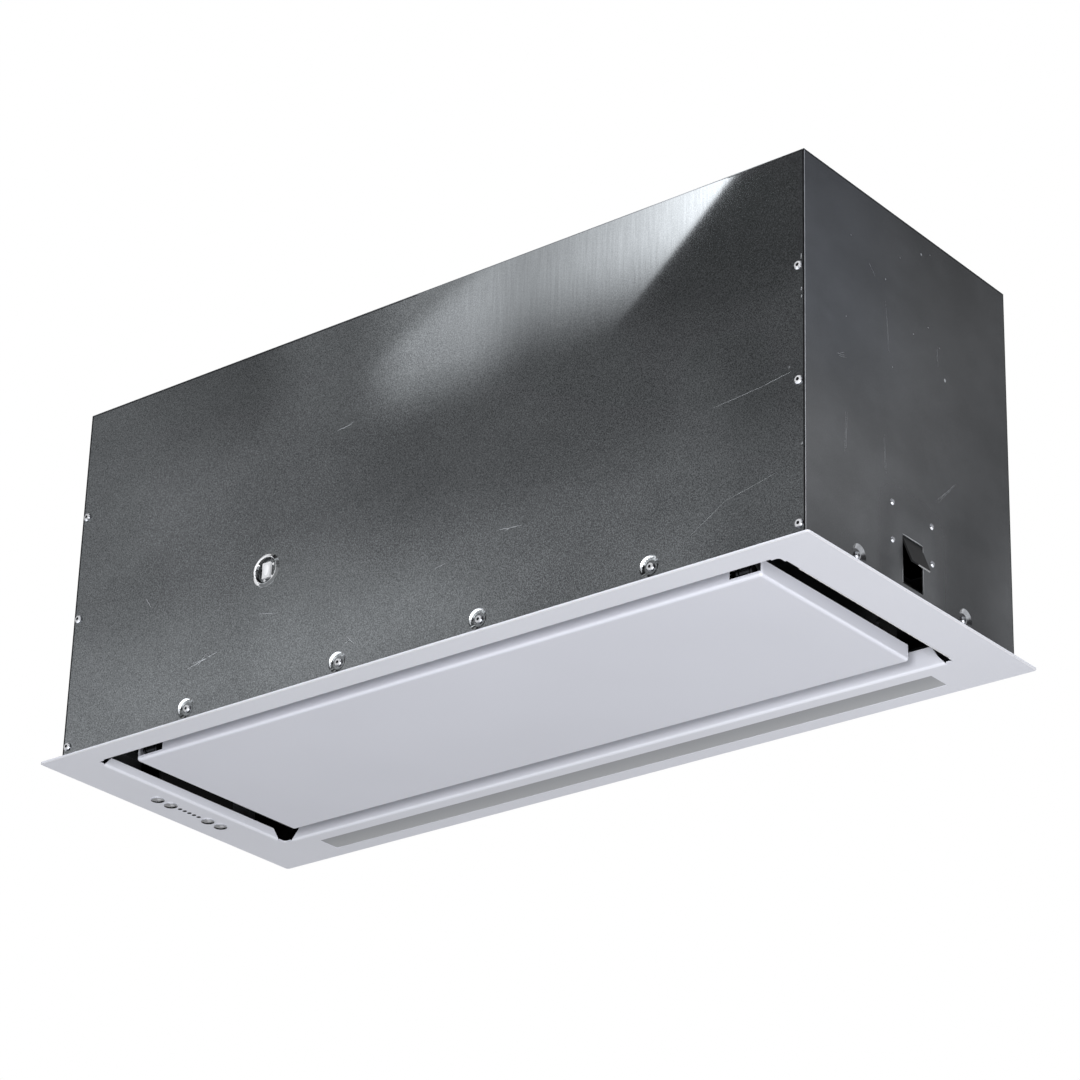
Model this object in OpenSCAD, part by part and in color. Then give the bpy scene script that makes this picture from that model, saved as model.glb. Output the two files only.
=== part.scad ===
// Ceiling range hood: a sheet-steel housing with a white trim frame below it, a hinged suction
// panel, two grease filters, a double-inlet blower and a round outlet collar with two flaps.
// X runs along the length, with the buttons at +X. The lamp is on the -Y side. Z is up, and
// zero is the lowest point of the hood, the crown of the push buttons.

/* [Housing] */
// Length of the housing, over the two end panels
housing_l = 850; // [800:1:1000]
// Depth of the housing, over the two long covers
housing_d = 314; // [306:1:360]
// Height of the housing, from the underside of the trim frame to the top
housing_h = 369; // [362:1:430]
// Thickness of the galvanised sheet
sheet_t = 1; // [0.8:0.1:1.2]
// Width of the return flanges of the end panels
flange_w = 15; // [12:0.5:20]
// Depth of the folded rim of the top panel
top_lip_h = 12; // [8:0.5:20]

/* [Trim frame] */
// How far the trim frame stands out past each end of the housing
overhang_x = 13.5; // [11:0.5:30]
// How far the trim frame stands out past each long side of the housing
overhang_y = 15.5; // [8:0.5:30]
// Thickness of the trim frame
trim_t = 1.8; // [1.2:0.1:2.2]
// Radius of the trim frame's corners
trim_corner_r = 3; // [1:0.5:8]
// Width of the band at each end, which holds the buttons
control_band = 35; // [33:0.5:50]
// Width of the band along the front, which holds the lamp
light_band = 42; // [40:0.5:50]
// Width of the band along the back
back_band = 13; // [12.8:0.1:16]
// Height of the folded lips at the ends of the opening
end_lip_h = 10; // [6:0.5:14]
// Height of the folded lips along the opening
long_lip_h = 20; // [15:0.5:26]
// Outer radius of the folds between the frame and its lips
lip_bend_r = 2.6; // [2.4:0.1:4]
// Distance from the corner of the opening to the foot of a lip
lip_foot_in = 8; // [5:0.5:12]
// Distance from the corner of the opening to the top of a short lip
lip_knee_in = 17; // [13:0.5:24]
// Distance from the corner of the opening to the top of a long lip
lip_top_in = 23; // [18:0.5:30]

/* [Suction panel] */
// Gap between the panel and the end lips
panel_gap_x = 31.5; // [24:0.5:40]
// Gap between the panel and the back lip
panel_gap_back = 19; // [16:0.5:24]
// Gap between the panel and the front lip
panel_gap_front = 21; // [16:0.5:28]
// Thickness of the panel's sheet
panel_t = 1.2; // [1:0.1:1.5]
// Height of the panel's walls
panel_wall_h = 15; // [13:0.5:18]
// Outer radius of the panel's folds and corners
panel_bend_r = 3; // [2:0.25:4]
// How far the panel's face sits above the face of the trim frame
panel_inset = 0.3; // [0.1:0.1:1.5]
// Length of the notches in the back wall
notch_w = 32; // [30:0.5:40]
// Height of the sill of the notches
notch_sill = 4.5; // [3.5:0.25:5]

/* [Panel hinge] */
// Distance from the back of the panel to the hinge pin
hinge_in = 3; // [2.8:0.1:3.5]
// Height of the hinge pin above the panel's face
hinge_rise = 8.7; // [8.5:0.1:9.5]
// Diameter of the hinge pins
hinge_pin_d = 4; // [3:0.1:4.2]
// Width of a hinge arm, along its pin
arm_w = 10; // [8:0.5:12]
// Depth of a hinge arm
arm_d = 7; // [6.6:0.1:7.2]
// Wall of a hinge arm
arm_t = 1.5; // [1.2:0.1:1.8]
// Thickness of the ears on the panel
ear_t = 2; // [1.5:0.1:2.4]

/* [Filters] */
// Height of the rails that carry the filter frame
rail_h = 34.2; // [32:0.2:38]
// Thickness of the rails and brackets
rail_t = 1.2; // [1:0.1:1.6]
// Width of the legs of the rails
rail_leg = 7; // [5:0.25:7.2]
// Thickness of the strips that carry the filters
carrier_t = 1.2; // [1:0.1:2]
// Thickness of a grease filter
filter_t = 9.5; // [8:0.5:10]
// Width of a filter's border
filter_border = 12; // [10:0.5:16]
// Sheet thickness of a filter's frame
filter_sheet = 1.2; // [0.8:0.1:1.5]
// Gap between the two filters
filter_split = 12; // [6:0.5:20]
// Travel of a filter's latch
latch_travel = 6; // [4:0.5:7]
// Width of a filter's latch
latch_w = 50; // [40:1:60]

/* [Blower] */
// Height of the blower's axis above the filters
blower_rise = 131; // [128:1:140]
// Offset of the blower's axis towards the back
blower_y = 20; // [15:0.5:24]
// Radius of the scroll at its tongue
scroll_r0 = 88; // [86:0.5:92]
// Radius of the scroll at its outlet
scroll_r1 = 140; // [136:0.5:143]
// Width of the scroll
scroll_w = 134; // [130:1:150]
// Wall of the scroll
scroll_t = 1.5; // [1.2:0.1:2]
// Radius of the scroll's inlets
inlet_r = 60; // [58:0.5:64]
// Outer radius of the impeller
wheel_r = 75; // [72:0.5:77]
// Radial depth of the impeller's blades
blade_d = 12; // [10:0.5:13]
// Number of blades
blade_count = 32; // [24:1:36]
// Radius of the motor
motor_r = 44; // [40:0.5:46]
// Length of the motor
motor_l = 46; // [42:0.5:48]
// Diameter of the motor's shaft
shaft_d = 8; // [6:0.5:10]

/* [Outlet] */
// Outer diameter of the outlet collar
collar_d = 149; // [140:0.5:149.5]
// Height of the outlet collar above the top panel
collar_h = 40; // [36:1:60]
// Wall of the outlet collar
collar_t = 2; // [1.8:0.1:2.5]
// Width of the collar's square foot
collar_foot = 176; // [172:1:190]
// Thickness of the flaps
flap_t = 1.5; // [1.2:0.1:1.8]
// Diameter of the flaps' pin
flap_pin_d = 3; // [2.5:0.1:3.4]

/* [Lamp] */
// Width of the lamp's window
led_w = 25.4; // [20:0.2:25.4]
// Distance from each end of the opening to the lamp's window
led_end_in = 33; // [25:0.5:60]
// Height of the lamp's channel
led_h = 8.6; // [7:0.1:8.6]
// Thickness of the diffuser
diffuser_t = 2.5; // [1.5:0.1:3]

/* [Controls] */
// Distance from the end of the housing to the row of buttons
button_in = 14; // [13.5:0.1:15]
// Diameter of a button
button_d = 9.8; // [8:0.1:10.2]
// Outer diameter of a button's ring
bezel_d = 13; // [12.6:0.1:14]
// How far the buttons stand out below the trim frame
button_proud = 2; // [1.4:0.1:3]
// Travel of a button
button_travel = 1; // [0.5:0.1:1.2]
// Distance between the buttons of a pair
button_pitch = 17.9; // [15.5:0.1:19]
// Distance from the middle of the controls to the nearer button of each pair
button_near = 25.8; // [22:0.1:28]
// Distance between indicators
indicator_pitch = 6.45; // [4:0.05:7]

/* [Side catches] */
// Width of the slots in the end panels
slot_w = 30.5; // [28:0.5:34]
// Height of the slots in the end panels
slot_h = 45; // [40:0.5:48]
// Height of the foot of the slots above the trim frame's face
slot_low = 16.5; // [16.3:0.1:20]
// Angle at which a catch stands out
catch_angle = 21; // [15:0.5:24]
// Length of a catch from its pin
catch_l = 34; // [28:0.5:36]
// Thickness of a catch
catch_t = 1.5; // [1:0.1:1.8]

/* [Hidden] */

// Fineness of round surfaces, and of small round surfaces
$fn = 64;
fine = 32;
// Overrun of every cut, running clearance of pins, and gap under a piece that rests on a ledge
over = 1;
pin_clear = 0.05;
seat_gap = 0.3;
slip = 0.1;

// Levels, from the bottom
trim_z = button_proud;
flange_z = trim_z + trim_t;
top_z = trim_z + housing_h;
wall_top_z = top_z - sheet_t;
carrier_z = flange_z + rail_h;
carrier_top = carrier_z + carrier_t;
panel_z = trim_z + panel_inset;
filter_z = carrier_z - filter_t;

// Plan of the housing, the trim frame, its opening and the suction panel
hx = housing_l / 2;
hy = housing_d / 2;
trim_x = hx + overhang_x;
trim_y = hy + overhang_y;
ap_x = hx - control_band;
ap_back = hy - back_band;
ap_front = -hy + light_band;
panel_x = ap_x - panel_gap_x;
panel_back = ap_back - panel_gap_back;
panel_front = ap_front + panel_gap_front;

// Screws, alike all over: shank, head, head height and recess
screw_r = 1.9;
screw_hole_r = 2;
screw_l = 7;
screw_head_r = 4;
screw_head_h = 2.2;
screw_recess_r = 1.5;
screw_recess_h = 1.4;
screw_top_share = 0.7;

// Screws at the ends of the long covers
cover_screw_in = 6;
cover_screw_z_shares = [0.049, 0.405, 0.698];

// Pressed dimples: radius, floor radius and depth, and places along the covers and end panels
dimple_r = 10;
dimple_floor_r = 6.5;
dimple_h = 2.5;
dimple_x_shares = [-0.627, -0.1906, 0.1906, 0.627];
dimple_rise_h = 21;
end_dimple_rise_h = 17.5;
dimple_z = trim_z + dimple_rise_h;
end_dimple_z = trim_z + end_dimple_rise_h;

// Pressed ring with a clip, on the back cover
ring_r = 16.5;
ring_crest_r = 13.6;
ring_floor_r = 11.4;
ring_h = 2;
ring_depth = 2.2;
ring_x_share = 0.412;
ring_z_share = 0.367;
ring_x = ring_x_share * hx;
ring_z = trim_z + ring_z_share * (top_z - trim_z);
clip_w = 9.4;
clip_h = 15.5;
clip_head = 2.6;
clip_shank_w = 5.6;
clip_shank_h = 12;
clip_back = 3;
clip_slot = 3;

// Rails
rail_y = hy - sheet_t - dimple_h;
rail_x = hx - flange_w - rail_leg;
rail_top_leg = 12;
bracket_l = 44;
bracket_leg = 15;

// Filters and what holds them
arm_x_share = 0.951;
arm_x = arm_x_share * panel_x;
filter_end = arm_x - arm_w / 2 - rail_leg;
filter_in = filter_split / 2;
filter_x = (filter_end + filter_in) / 2;
filter_l = filter_end - filter_in;
filter_back_in = 13;
filter_front_out = 14;
mesh_t = 0.8;
filter_back = panel_back - filter_back_in;
filter_front = panel_front - filter_front_out;
hook_w = 60;
hook_reach = 6;
latch_t = 2;
latch_d = 20;
latch_reach = 5;
latch_tab = 3;
keeper_gap = 1.5;
keeper_w = 40;
tongue_w = 30;

// Hinge
hinge_y = panel_back - hinge_in;
hinge_z = panel_z + hinge_rise;
hinge_pin_r = hinge_pin_d / 2;
arm_foot_w = 22;
arm_foot_front = 6;
arm_foot_back = 18;
arm_foot_t = 1.5;
ear_gap = 1.2;
ear_base_t = 1.4;
ear_r = 4;
ear_base_front = 9;

// Magnet catches
magnet_off = 5;
magnet_x = arm_x + magnet_off;
magnet_in = 14;
magnet_w = 14;
magnet_d = 16;
magnet_t = 2;
post_h = 15.2;
post_w = 7;
post_base = 16;
post_base_t = 1.2;

// Blower
blower_z = carrier_z + blower_rise;
tongue_angle = 100;
tongue_u = 10;
spiral_steps = 26;
outlet_y = blower_y + tongue_u - (scroll_r1 + tongue_u) / 2;
wheel_gap = 7.5;
wheel_x = scroll_w / 2 - scroll_t - wheel_gap;
wheel_end_t = 3;
blade_t = 1.2;
blade_lean = 28;
blade_root_share = 0.1;
blade_run_share = 0.86;
hub_t = 1.5;
hub_r = 10;
hub_l = 15;
motor_wall = 1.5;
motor_gap = 4.5;
motor_cap_x = -hub_t - motor_gap;
motor_end_x = motor_cap_x - motor_l;
bearing_r = 9;
bearing_l = 8;
bearing_wall = 2;
stator_l = 24;
stator_in_r = 26;
rotor_gap = 0.8;
spider_t = 3;
spider_hub_r = 20;
spider_arm_w = 12;
bush_r = 6;
bush_t = 2;
bush_gap = 0.5;
shaft_room = 1;
bush_at = inlet_r + 2 * scroll_t + bush_gap + bush_r;

// Outlet collar
collar_r = collar_d / 2;
collar_in_r = collar_r - collar_t;
collar_foot_t = 2.5;
collar_screw_in = 8;
ledge_w = 3;
ledge_t = 1.5;
ledge_rise = 13;
ledge_z = top_z + ledge_rise;
flap_pin_r = flap_pin_d / 2;
flap_gap = 1.3;
flap_r = collar_in_r - flap_gap;
flap_off = 5;
flap_z = ledge_z + seat_gap + flap_t / 2;
knuckle_r = 3.2;
knuckle_w = 20;
knuckle_gap = 2;

// Lamp
led_wall = 0.6;
led_y = -hy + sheet_t + led_wall + led_w / 2;
led_x = ap_x - led_end_in;
led_rest = 3;
led_board_t = 1.6;
led_board_w = 18;
led_chip = 3;
led_chip_h = 0.8;
led_chips = 24;
driver_l = 140;
driver_d = 38;
driver_h = 26;
driver_in = 20;

// Controls
button_x = hx - button_in;
control_y_share = -0.01;
control_y = control_y_share * hy;
button_y = [
  control_y + button_near + button_pitch, control_y + button_near,
  control_y - button_near, control_y - button_near - button_pitch
];
button_r = button_d / 2;
button_crown_h = 1.1;
button_hole_r = button_r + slip;
bezel_wall = 0.6;
bezel_h = 0.9;
bezel_barrel = 3;
shoulder_t = 1.2;
plunger_r = 2;
plunger_h = 1.6;
switch_w = 6;
switch_h = 2;
board_t = 1.6;
control_wall = 1.2;
control_w = 22;
control_end = 9;
bracket_room = 5.4;
end_dimple_y = button_near + button_pitch + control_end + bracket_room + bracket_l / 2;
shoulder_z = flange_z + bezel_barrel + pin_clear;
plunger_top = shoulder_z + shoulder_t + plunger_h;
switch_z = plunger_top + button_travel + slip;
board_z = switch_z + switch_h;
control_top = board_z + board_t + control_wall;
indicator_count = 5;
indicator_l = 4.6;
indicator_w = 1.5;
indicator_inset = 0.3;

// Electronics under the top panel
box_in = 145;
box_x = hx - box_in;
box_y = -10;
box_l = 150;
box_d = 96;
box_h = 46;
box_wall = 1.5;
box_lid_t = 2;
power_board_rise = 12;
capacitor_r = 18;
capacitor_h = 64;
capacitor_y = 74;
gland_x_share = 0.71;
gland_y_share = -0.67;
gland_x = gland_x_share * hx;
gland_y = gland_y_share * hy;
gland_hole_r = 10;
gland_bore_r = 4;
gland_hex_r = 14;
gland_nut_h = 5;
gland_dome_r = 11;
gland_dome_h = 14;
gland_tip_wall = 2;

// Hanging holes in the top panel
hang_x_share = 0.824;
hang_y_share = 0.7;
hang_hole_r = 4.5;

// Side catches: places are measured inwards from the outer face of the end panel
slot_top = trim_z + slot_low + slot_h;
catch_pin_r = 1.5;
catch_knuckle_r = 2.8;
catch_edge_gap = 0.25;
catch_pin_in = 6.2;
catch_side_gap = 1.25;
catch_w = slot_w - 2 * catch_side_gap;
catch_out_n = catch_knuckle_r;
catch_corner_in = sheet_t + catch_edge_gap;
catch_pin_z = slot_top - slip
  + ((catch_pin_in - catch_corner_in) * cos(catch_angle) - catch_out_n) / sin(catch_angle);
catch_plate_y = 38;
catch_plate_low = 17;
catch_plate_high = 33;
catch_ear_t = 1.6;
catch_ear_in = 9.8;
catch_ear_low = 5;
catch_ear_high = 5;
catch_notch_d = 16;
catch_notch_w = 42;
rivet_y = 30;
rivet_drop_h = 10.5;
rivet_rise_h = 24.5;
rivet_r = 1.9;
rivet_head_r = 2.9;
rivet_head_h = 1.1;
rivet_top_share = 0.6;

// A box between two corners
module block(x0, x1, y0, y1, z0, z1) {
  translate([x0, y0, z0]) cube([x1 - x0, y1 - y0, z1 - z0]);
}

// A round bar along X, Y or Z from one place to another
module bar_x(x0, x1, y, z, r) {
  translate([x0, y, z]) rotate([0, 90, 0]) cylinder(h = x1 - x0, r = r);
}
module bar_y(x, y0, y1, z, r) {
  translate([x, y0, z]) rotate([-90, 0, 0]) cylinder(h = y1 - y0, r = r);
}
module bar_z(x, y, z0, z1, r) {
  translate([x, y, z0]) cylinder(h = z1 - z0, r = r);
}

// What it holds, and its mirror image across X = 0 or Y = 0
module both_x() {
  children();
  mirror([1, 0, 0]) children();
}
module both_y() {
  children();
  mirror([0, 1, 0]) children();
}

// A flat rectangle with round corners
module round_rect(x0, x1, y0, y1, r) {
  translate([x0 + r, y0]) square([x1 - x0 - 2 * r, y1 - y0]);
  translate([x0, y0 + r]) square([x1 - x0, y1 - y0 - 2 * r]);
  for (x = [x0 + r, x1 - r], y = [y0 + r, y1 - r]) translate([x, y]) circle(r, $fn = fine);
}

// Places local Z inwards on a face: the back cover, the front cover or an end panel
module on_back(x, z) {
  translate([x, hy, z]) rotate([90, 0, 0]) children();
}
module on_front(x, z) {
  translate([x, -hy, z]) rotate([-90, 0, 0]) children();
}
module on_end(y, z) {
  translate([hx, y, z]) rotate([0, -90, 0]) children();
}

// Pressed dimple around a screw hole, with its outer rim at local zero and its floor inwards
module dimple() {
  rotate_extrude($fn = fine) polygon([
    [screw_hole_r, dimple_h], [dimple_floor_r, dimple_h], [dimple_r, 0],
    [dimple_r, sheet_t], [dimple_floor_r, dimple_h + sheet_t], [screw_hole_r, dimple_h + sheet_t]
  ]);
}
module dimple_hole() {
  translate([0, 0, -over]) cylinder(h = sheet_t + 2 * over, r = dimple_r, $fn = fine);
}

// Pressed ring with a sunk floor
module ring_press() {
  rotate_extrude() polygon([
    [0, ring_depth], [ring_floor_r, ring_depth], [ring_crest_r, -ring_h], [ring_r, 0],
    [ring_r, sheet_t], [ring_crest_r, sheet_t - ring_h], [ring_floor_r, ring_depth + sheet_t],
    [0, ring_depth + sheet_t]
  ]);
}

// Pan-head screw, with its seat at local zero and its shank inwards
module screw() {
  difference() {
    union() {
      translate([0, 0, -screw_head_h / 2])
        cylinder(h = screw_head_h / 2, r = screw_head_r, $fn = fine);
      translate([0, 0, -screw_head_h]) cylinder(
        h = screw_head_h / 2, r1 = screw_head_r * screw_top_share, r2 = screw_head_r, $fn = fine
      );
      cylinder(h = screw_l, r = screw_r, $fn = fine);
    }
    translate([0, 0, -screw_head_h - over])
      cylinder(h = screw_recess_h + over, r = screw_recess_r, $fn = 6);
  }
}
module screw_hole() {
  translate([0, 0, -over]) cylinder(h = screw_l + 2 * over, r = screw_hole_r, $fn = fine);
}

function cover_screw_z(share) = trim_z + share * (wall_top_z - trim_z);

// Where the cover screws and the dimples of a long side lie
module at_cover_screws() {
  for (x = [-hx + cover_screw_in, hx - cover_screw_in], s = cover_screw_z_shares)
    translate([x, 0, cover_screw_z(s)]) children();
}
module at_long_dimples() {
  for (s = dimple_x_shares) translate([s * hx, 0, dimple_z]) children();
}
module at_end_dimples() {
  for (side = [-1, 1]) translate([0, side * end_dimple_y, end_dimple_z]) children();
}

module cover_sheet() {
  difference() {
    block(-hx, hx, hy - sheet_t, hy, flange_z, wall_top_z);
    at_cover_screws() on_back(0, 0) screw_hole();
    at_long_dimples() on_back(0, 0) dimple_hole();
  }
  at_long_dimples() on_back(0, 0) dimple();
}

module back_cover() {
  color("#6a6d70") {
    difference() {
      cover_sheet();
      on_back(ring_x, ring_z)
        translate([0, 0, -over]) cylinder(h = sheet_t + 2 * over, r = ring_r);
    }
    difference() {
      on_back(ring_x, ring_z) ring_press();
      block(
        ring_x - clip_shank_w / 2 - slip, ring_x + clip_w / 2 + clip_slot,
        hy - ring_depth - sheet_t - over, hy - ring_depth + over,
        ring_z - clip_shank_h / 2 - slip, ring_z + clip_shank_h / 2 + slip
      );
    }
  }
}

module front_cover() {
  color("#6a6d70") mirror([0, 1, 0]) cover_sheet();
}

// Bent clip in the pressed ring, held by its wider back
module ring_clip() {
  floor_y = hy - ring_depth;
  color("#e4e6e8") {
    block(
      ring_x - clip_w / 2, ring_x + clip_w / 2, floor_y, floor_y + clip_head,
      ring_z - clip_h / 2, ring_z + clip_h / 2
    );
    block(
      ring_x - clip_shank_w / 2, ring_x + clip_shank_w / 2, floor_y - sheet_t, floor_y,
      ring_z - clip_shank_h / 2, ring_z + clip_shank_h / 2
    );
    block(
      ring_x - clip_w / 2, ring_x + clip_w / 2, floor_y - sheet_t - clip_back, floor_y - sheet_t,
      ring_z - clip_h / 2, ring_z + clip_h / 2
    );
  }
}

// End panel at +X: a web between the covers, with return flanges behind them
module end_panel() {
  web_y = hy - sheet_t;
  difference() {
    union() {
      block(hx - sheet_t, hx, -web_y, web_y, flange_z, wall_top_z);
      both_y() block(hx - flange_w, hx, web_y - sheet_t, web_y, flange_z, wall_top_z);
    }
    block(
      hx - sheet_t - over, hx + over, -slot_w / 2, slot_w / 2, trim_z + slot_low, slot_top
    );
    both_y() at_cover_screws() on_back(0, 0) screw_hole();
    at_end_dimples() on_end(0, 0) dimple_hole();
    at_rivets() on_end(0, 0)
      translate([0, 0, -over]) cylinder(h = screw_l, r = rivet_r + pin_clear, $fn = fine);
  }
  at_end_dimples() on_end(0, 0) dimple();
}

module end_panel_left() {
  color("#55585a") mirror([1, 0, 0]) end_panel();
}
module end_panel_right() {
  color("#55585a") end_panel();
}

// Top panel with its folded rim, outlet hole, hanging holes and gland hole
module top_panel() {
  lip_z = wall_top_z - top_lip_h;
  lip_x = hx - sheet_t;
  lip_y = hy - sheet_t;
  color("#7c8083") difference() {
    union() {
      block(-hx, hx, -hy, hy, wall_top_z, top_z);
      both_y() block(
        -hx + flange_w + sheet_t, hx - flange_w - sheet_t, lip_y - sheet_t, lip_y, lip_z, top_z
      );
      both_x() block(
        lip_x - sheet_t, lip_x, -lip_y + 2 * sheet_t, lip_y - 2 * sheet_t, lip_z, top_z
      );
    }
    bar_z(0, outlet_y, wall_top_z - over, top_z + over, collar_in_r);
    for (x = [-1, 1], y = [-1, 1]) {
      bar_z(
        x * hang_x_share * hx, y * hang_y_share * hy, wall_top_z - over, top_z + over, hang_hole_r
      );
    }
    bar_z(gland_x, gland_y, wall_top_z - over, top_z + over, gland_hole_r + slip);
    at_collar_screws() bar_z(0, 0, wall_top_z - over, top_z + over, screw_hole_r);
  }
}

// One side of the frame's opening, along X, with the opening at +Y and its edge at zero
module lip_outline(len, h) {
  half = len / 2;
  top = h > end_lip_h ? [[half - lip_top_in, h], [-half + lip_top_in, h]] : [];
  polygon(concat(
    [[-half + lip_foot_in, 0], [half - lip_foot_in, 0], [half - lip_knee_in, end_lip_h]],
    top, [[-half + lip_knee_in, end_lip_h]]
  ));
}
module lip_profile(h) {
  translate([-trim_t, lip_bend_r]) square([trim_t, h - lip_bend_r]);
  translate([-lip_bend_r, lip_bend_r]) difference() {
    circle(lip_bend_r, $fn = fine);
    circle(lip_bend_r - trim_t, $fn = fine);
    translate([-lip_bend_r - over, -lip_bend_r - over])
      square([lip_bend_r + over, 2 * lip_bend_r + 2 * over]);
    translate([-over, 0]) square([lip_bend_r + 2 * over, lip_bend_r + over]);
  }
}
module lip(len, h) {
  intersection() {
    translate([-len / 2, 0, 0]) rotate([90, 0, 90]) linear_extrude(len) lip_profile(h);
    translate([0, over, 0]) rotate([90, 0, 0]) linear_extrude(lip_bend_r + 2 * over)
      lip_outline(len, h);
  }
}
module lip_cut(len) {
  translate([-len / 2 + lip_foot_in, -lip_bend_r, -over])
    cube([len - 2 * lip_foot_in, lip_bend_r + over, trim_t + 2 * over]);
}
module at_lips() {
  ap_y = (ap_back + ap_front) / 2;
  translate([0, ap_front, trim_z]) children(0);
  translate([0, ap_back, trim_z]) rotate(180) children(0);
  translate([ap_x, ap_y, trim_z]) rotate(90) children(1);
  translate([-ap_x, ap_y, trim_z]) rotate(-90) children(1);
}

// White trim frame
module trim_frame() {
  ap_l = 2 * ap_x;
  ap_d = ap_back - ap_front;
  color("#dcdee4") {
    difference() {
      translate([0, 0, trim_z]) linear_extrude(trim_t) difference() {
        round_rect(-trim_x, trim_x, -trim_y, trim_y, trim_corner_r);
        round_rect(-ap_x, ap_x, ap_front, ap_back, trim_corner_r);
        translate([-led_x, led_y - led_w / 2]) square([2 * led_x, led_w]);
        for (y = button_y)
          translate([button_x, y]) circle(button_hole_r + bezel_wall + pin_clear, $fn = fine);
        for (i = [0 : indicator_count - 1])
          translate([button_x - indicator_l / 2, indicator_y(i) - indicator_w / 2])
            square([indicator_l, indicator_w]);
      }
      at_lips() {
        lip_cut(ap_l);
        lip_cut(ap_d);
      }
    }
    at_lips() {
      lip(ap_l, long_lip_h);
      lip(ap_d, end_lip_h);
    }
  }
}

function indicator_y(i) = control_y + (i - (indicator_count - 1) / 2) * indicator_pitch;

// Rails between the trim frame and the strips that carry the filters
module back_rail() {
  difference() {
    union() {
      block(-rail_x, rail_x, rail_y - rail_t, rail_y, flange_z, carrier_z);
      block(-rail_x, rail_x, rail_y - rail_leg, rail_y, flange_z, flange_z + rail_t);
      block(-rail_x, rail_x, rail_y - rail_top_leg, rail_y, carrier_z - rail_t, carrier_z);
    }
    at_long_dimples() on_back(0, 0) screw_hole();
  }
}
module front_rail() {
  foot_z = flange_z + led_h;
  difference() {
    mirror([0, 1, 0]) union() {
      block(-rail_x, rail_x, rail_y - rail_t, rail_y, foot_z, carrier_z);
      block(-rail_x, rail_x, rail_y - rail_top_leg, rail_y, foot_z, foot_z + rail_t);
      block(-rail_x, rail_x, rail_y - rail_top_leg, rail_y, carrier_z - rail_t, carrier_z);
    }
    at_long_dimples() on_front(0, 0) screw_hole();
  }
}
module long_rails() {
  color("#8a8d90") {
    back_rail();
    front_rail();
  }
}
module end_brackets() {
  web_x = hx - sheet_t - dimple_h;
  mid_y = end_dimple_y;
  color("#8a8d90") both_x() both_y() difference() {
    union() {
      block(
        web_x - rail_t, web_x, mid_y - bracket_l / 2, mid_y + bracket_l / 2, flange_z, carrier_z
      );
      block(
        web_x - bracket_leg, web_x, mid_y - bracket_l / 2, mid_y + bracket_l / 2,
        flange_z, flange_z + rail_t
      );
      block(
        web_x - bracket_leg, web_x, mid_y - bracket_l / 2, mid_y + bracket_l / 2,
        carrier_z - rail_t, carrier_z
      );
    }
    at_end_dimples() on_end(0, 0) screw_hole();
  }
}

// Frame that carries the filters: two long strips with three cross strips welded between them.
// The outer cross strips have notches for the side catches.
module carrier_strips() {
  plate_x = hx - sheet_t - slip;
  plate_y = hy - 2 * sheet_t - slip;
  color("#8a8d90") {
    block(
      -plate_x, plate_x, filter_back - filter_border, plate_y, carrier_z, carrier_top
    );
    block(
      -plate_x, plate_x, -plate_y, filter_front + filter_border, carrier_z, carrier_top
    );
  }
}
module carrier_ends() {
  plate_x = hx - sheet_t - slip;
  inner_x = filter_end - filter_border;
  mid_x = filter_in + filter_border;
  y0 = filter_front + filter_border;
  y1 = filter_back - filter_border;
  color("#8a8d90") {
    block(-mid_x, mid_x, y0, y1, carrier_z, carrier_top);
    both_x() difference() {
      block(inner_x, plate_x, y0, y1, carrier_z, carrier_top);
      block(
        hx - catch_notch_d, hx, -catch_notch_w / 2, catch_notch_w / 2,
        carrier_z - over, carrier_top + over
      );
    }
  }
}

// Grease filter: a channel frame around two layers of expanded metal
module filter_frame() {
  guide_z = filter_z - 2 * seat_gap - latch_t;
  color("#b4b8bc") {
    difference() {
      block(filter_in, filter_end, filter_front, filter_back, filter_z, carrier_z);
      block(
        filter_in + filter_sheet, filter_end - filter_sheet, filter_front + filter_sheet,
        filter_back - filter_sheet, filter_z + filter_sheet, carrier_z - filter_sheet
      );
      block(
        filter_in + filter_border, filter_end - filter_border, filter_front + filter_border,
        filter_back - filter_border, filter_z - over, carrier_z + over
      );
    }
    translate([filter_x, 0, 0]) both_x() {
      block(
        latch_w / 2 + slip, latch_w / 2 + slip + filter_sheet, filter_front,
        filter_front + filter_border, guide_z - filter_sheet, filter_z
      );
      block(
        latch_w / 2 - 2 * filter_sheet, latch_w / 2 + slip + filter_sheet, filter_front,
        filter_front + filter_border, guide_z - filter_sheet, guide_z
      );
    }
  }
}
module filter_mesh() {
  pad = filter_sheet + slip;
  color("#9a9ea2") for (z = [filter_z + pad, carrier_z - pad - mesh_t]) block(
    filter_in + pad, filter_end - pad, filter_front + pad, filter_back - pad, z, z + mesh_t
  );
}
module filter_frames() {
  both_x() filter_frame();
}
module filter_meshes() {
  both_x() filter_mesh();
}

// Sliding latch under a filter, with a tongue at the front and a finger tab
module filter_latch() {
  z1 = filter_z - seat_gap;
  z0 = z1 - latch_t;
  y1 = filter_front + latch_d;
  color("#c8cacc") translate([filter_x, 0, 0]) {
    block(-latch_w / 2, latch_w / 2, filter_front + slip, y1, z0, z1);
    block(-tongue_w / 2, tongue_w / 2, filter_front - latch_reach, filter_front + slip, z0, z1);
    block(-tongue_w / 2, tongue_w / 2, y1 - latch_t, y1, z0 - latch_tab, z0);
  }
}
module latch_left() {
  mirror([1, 0, 0]) filter_latch();
}
module latch_right() {
  filter_latch();
}

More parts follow.
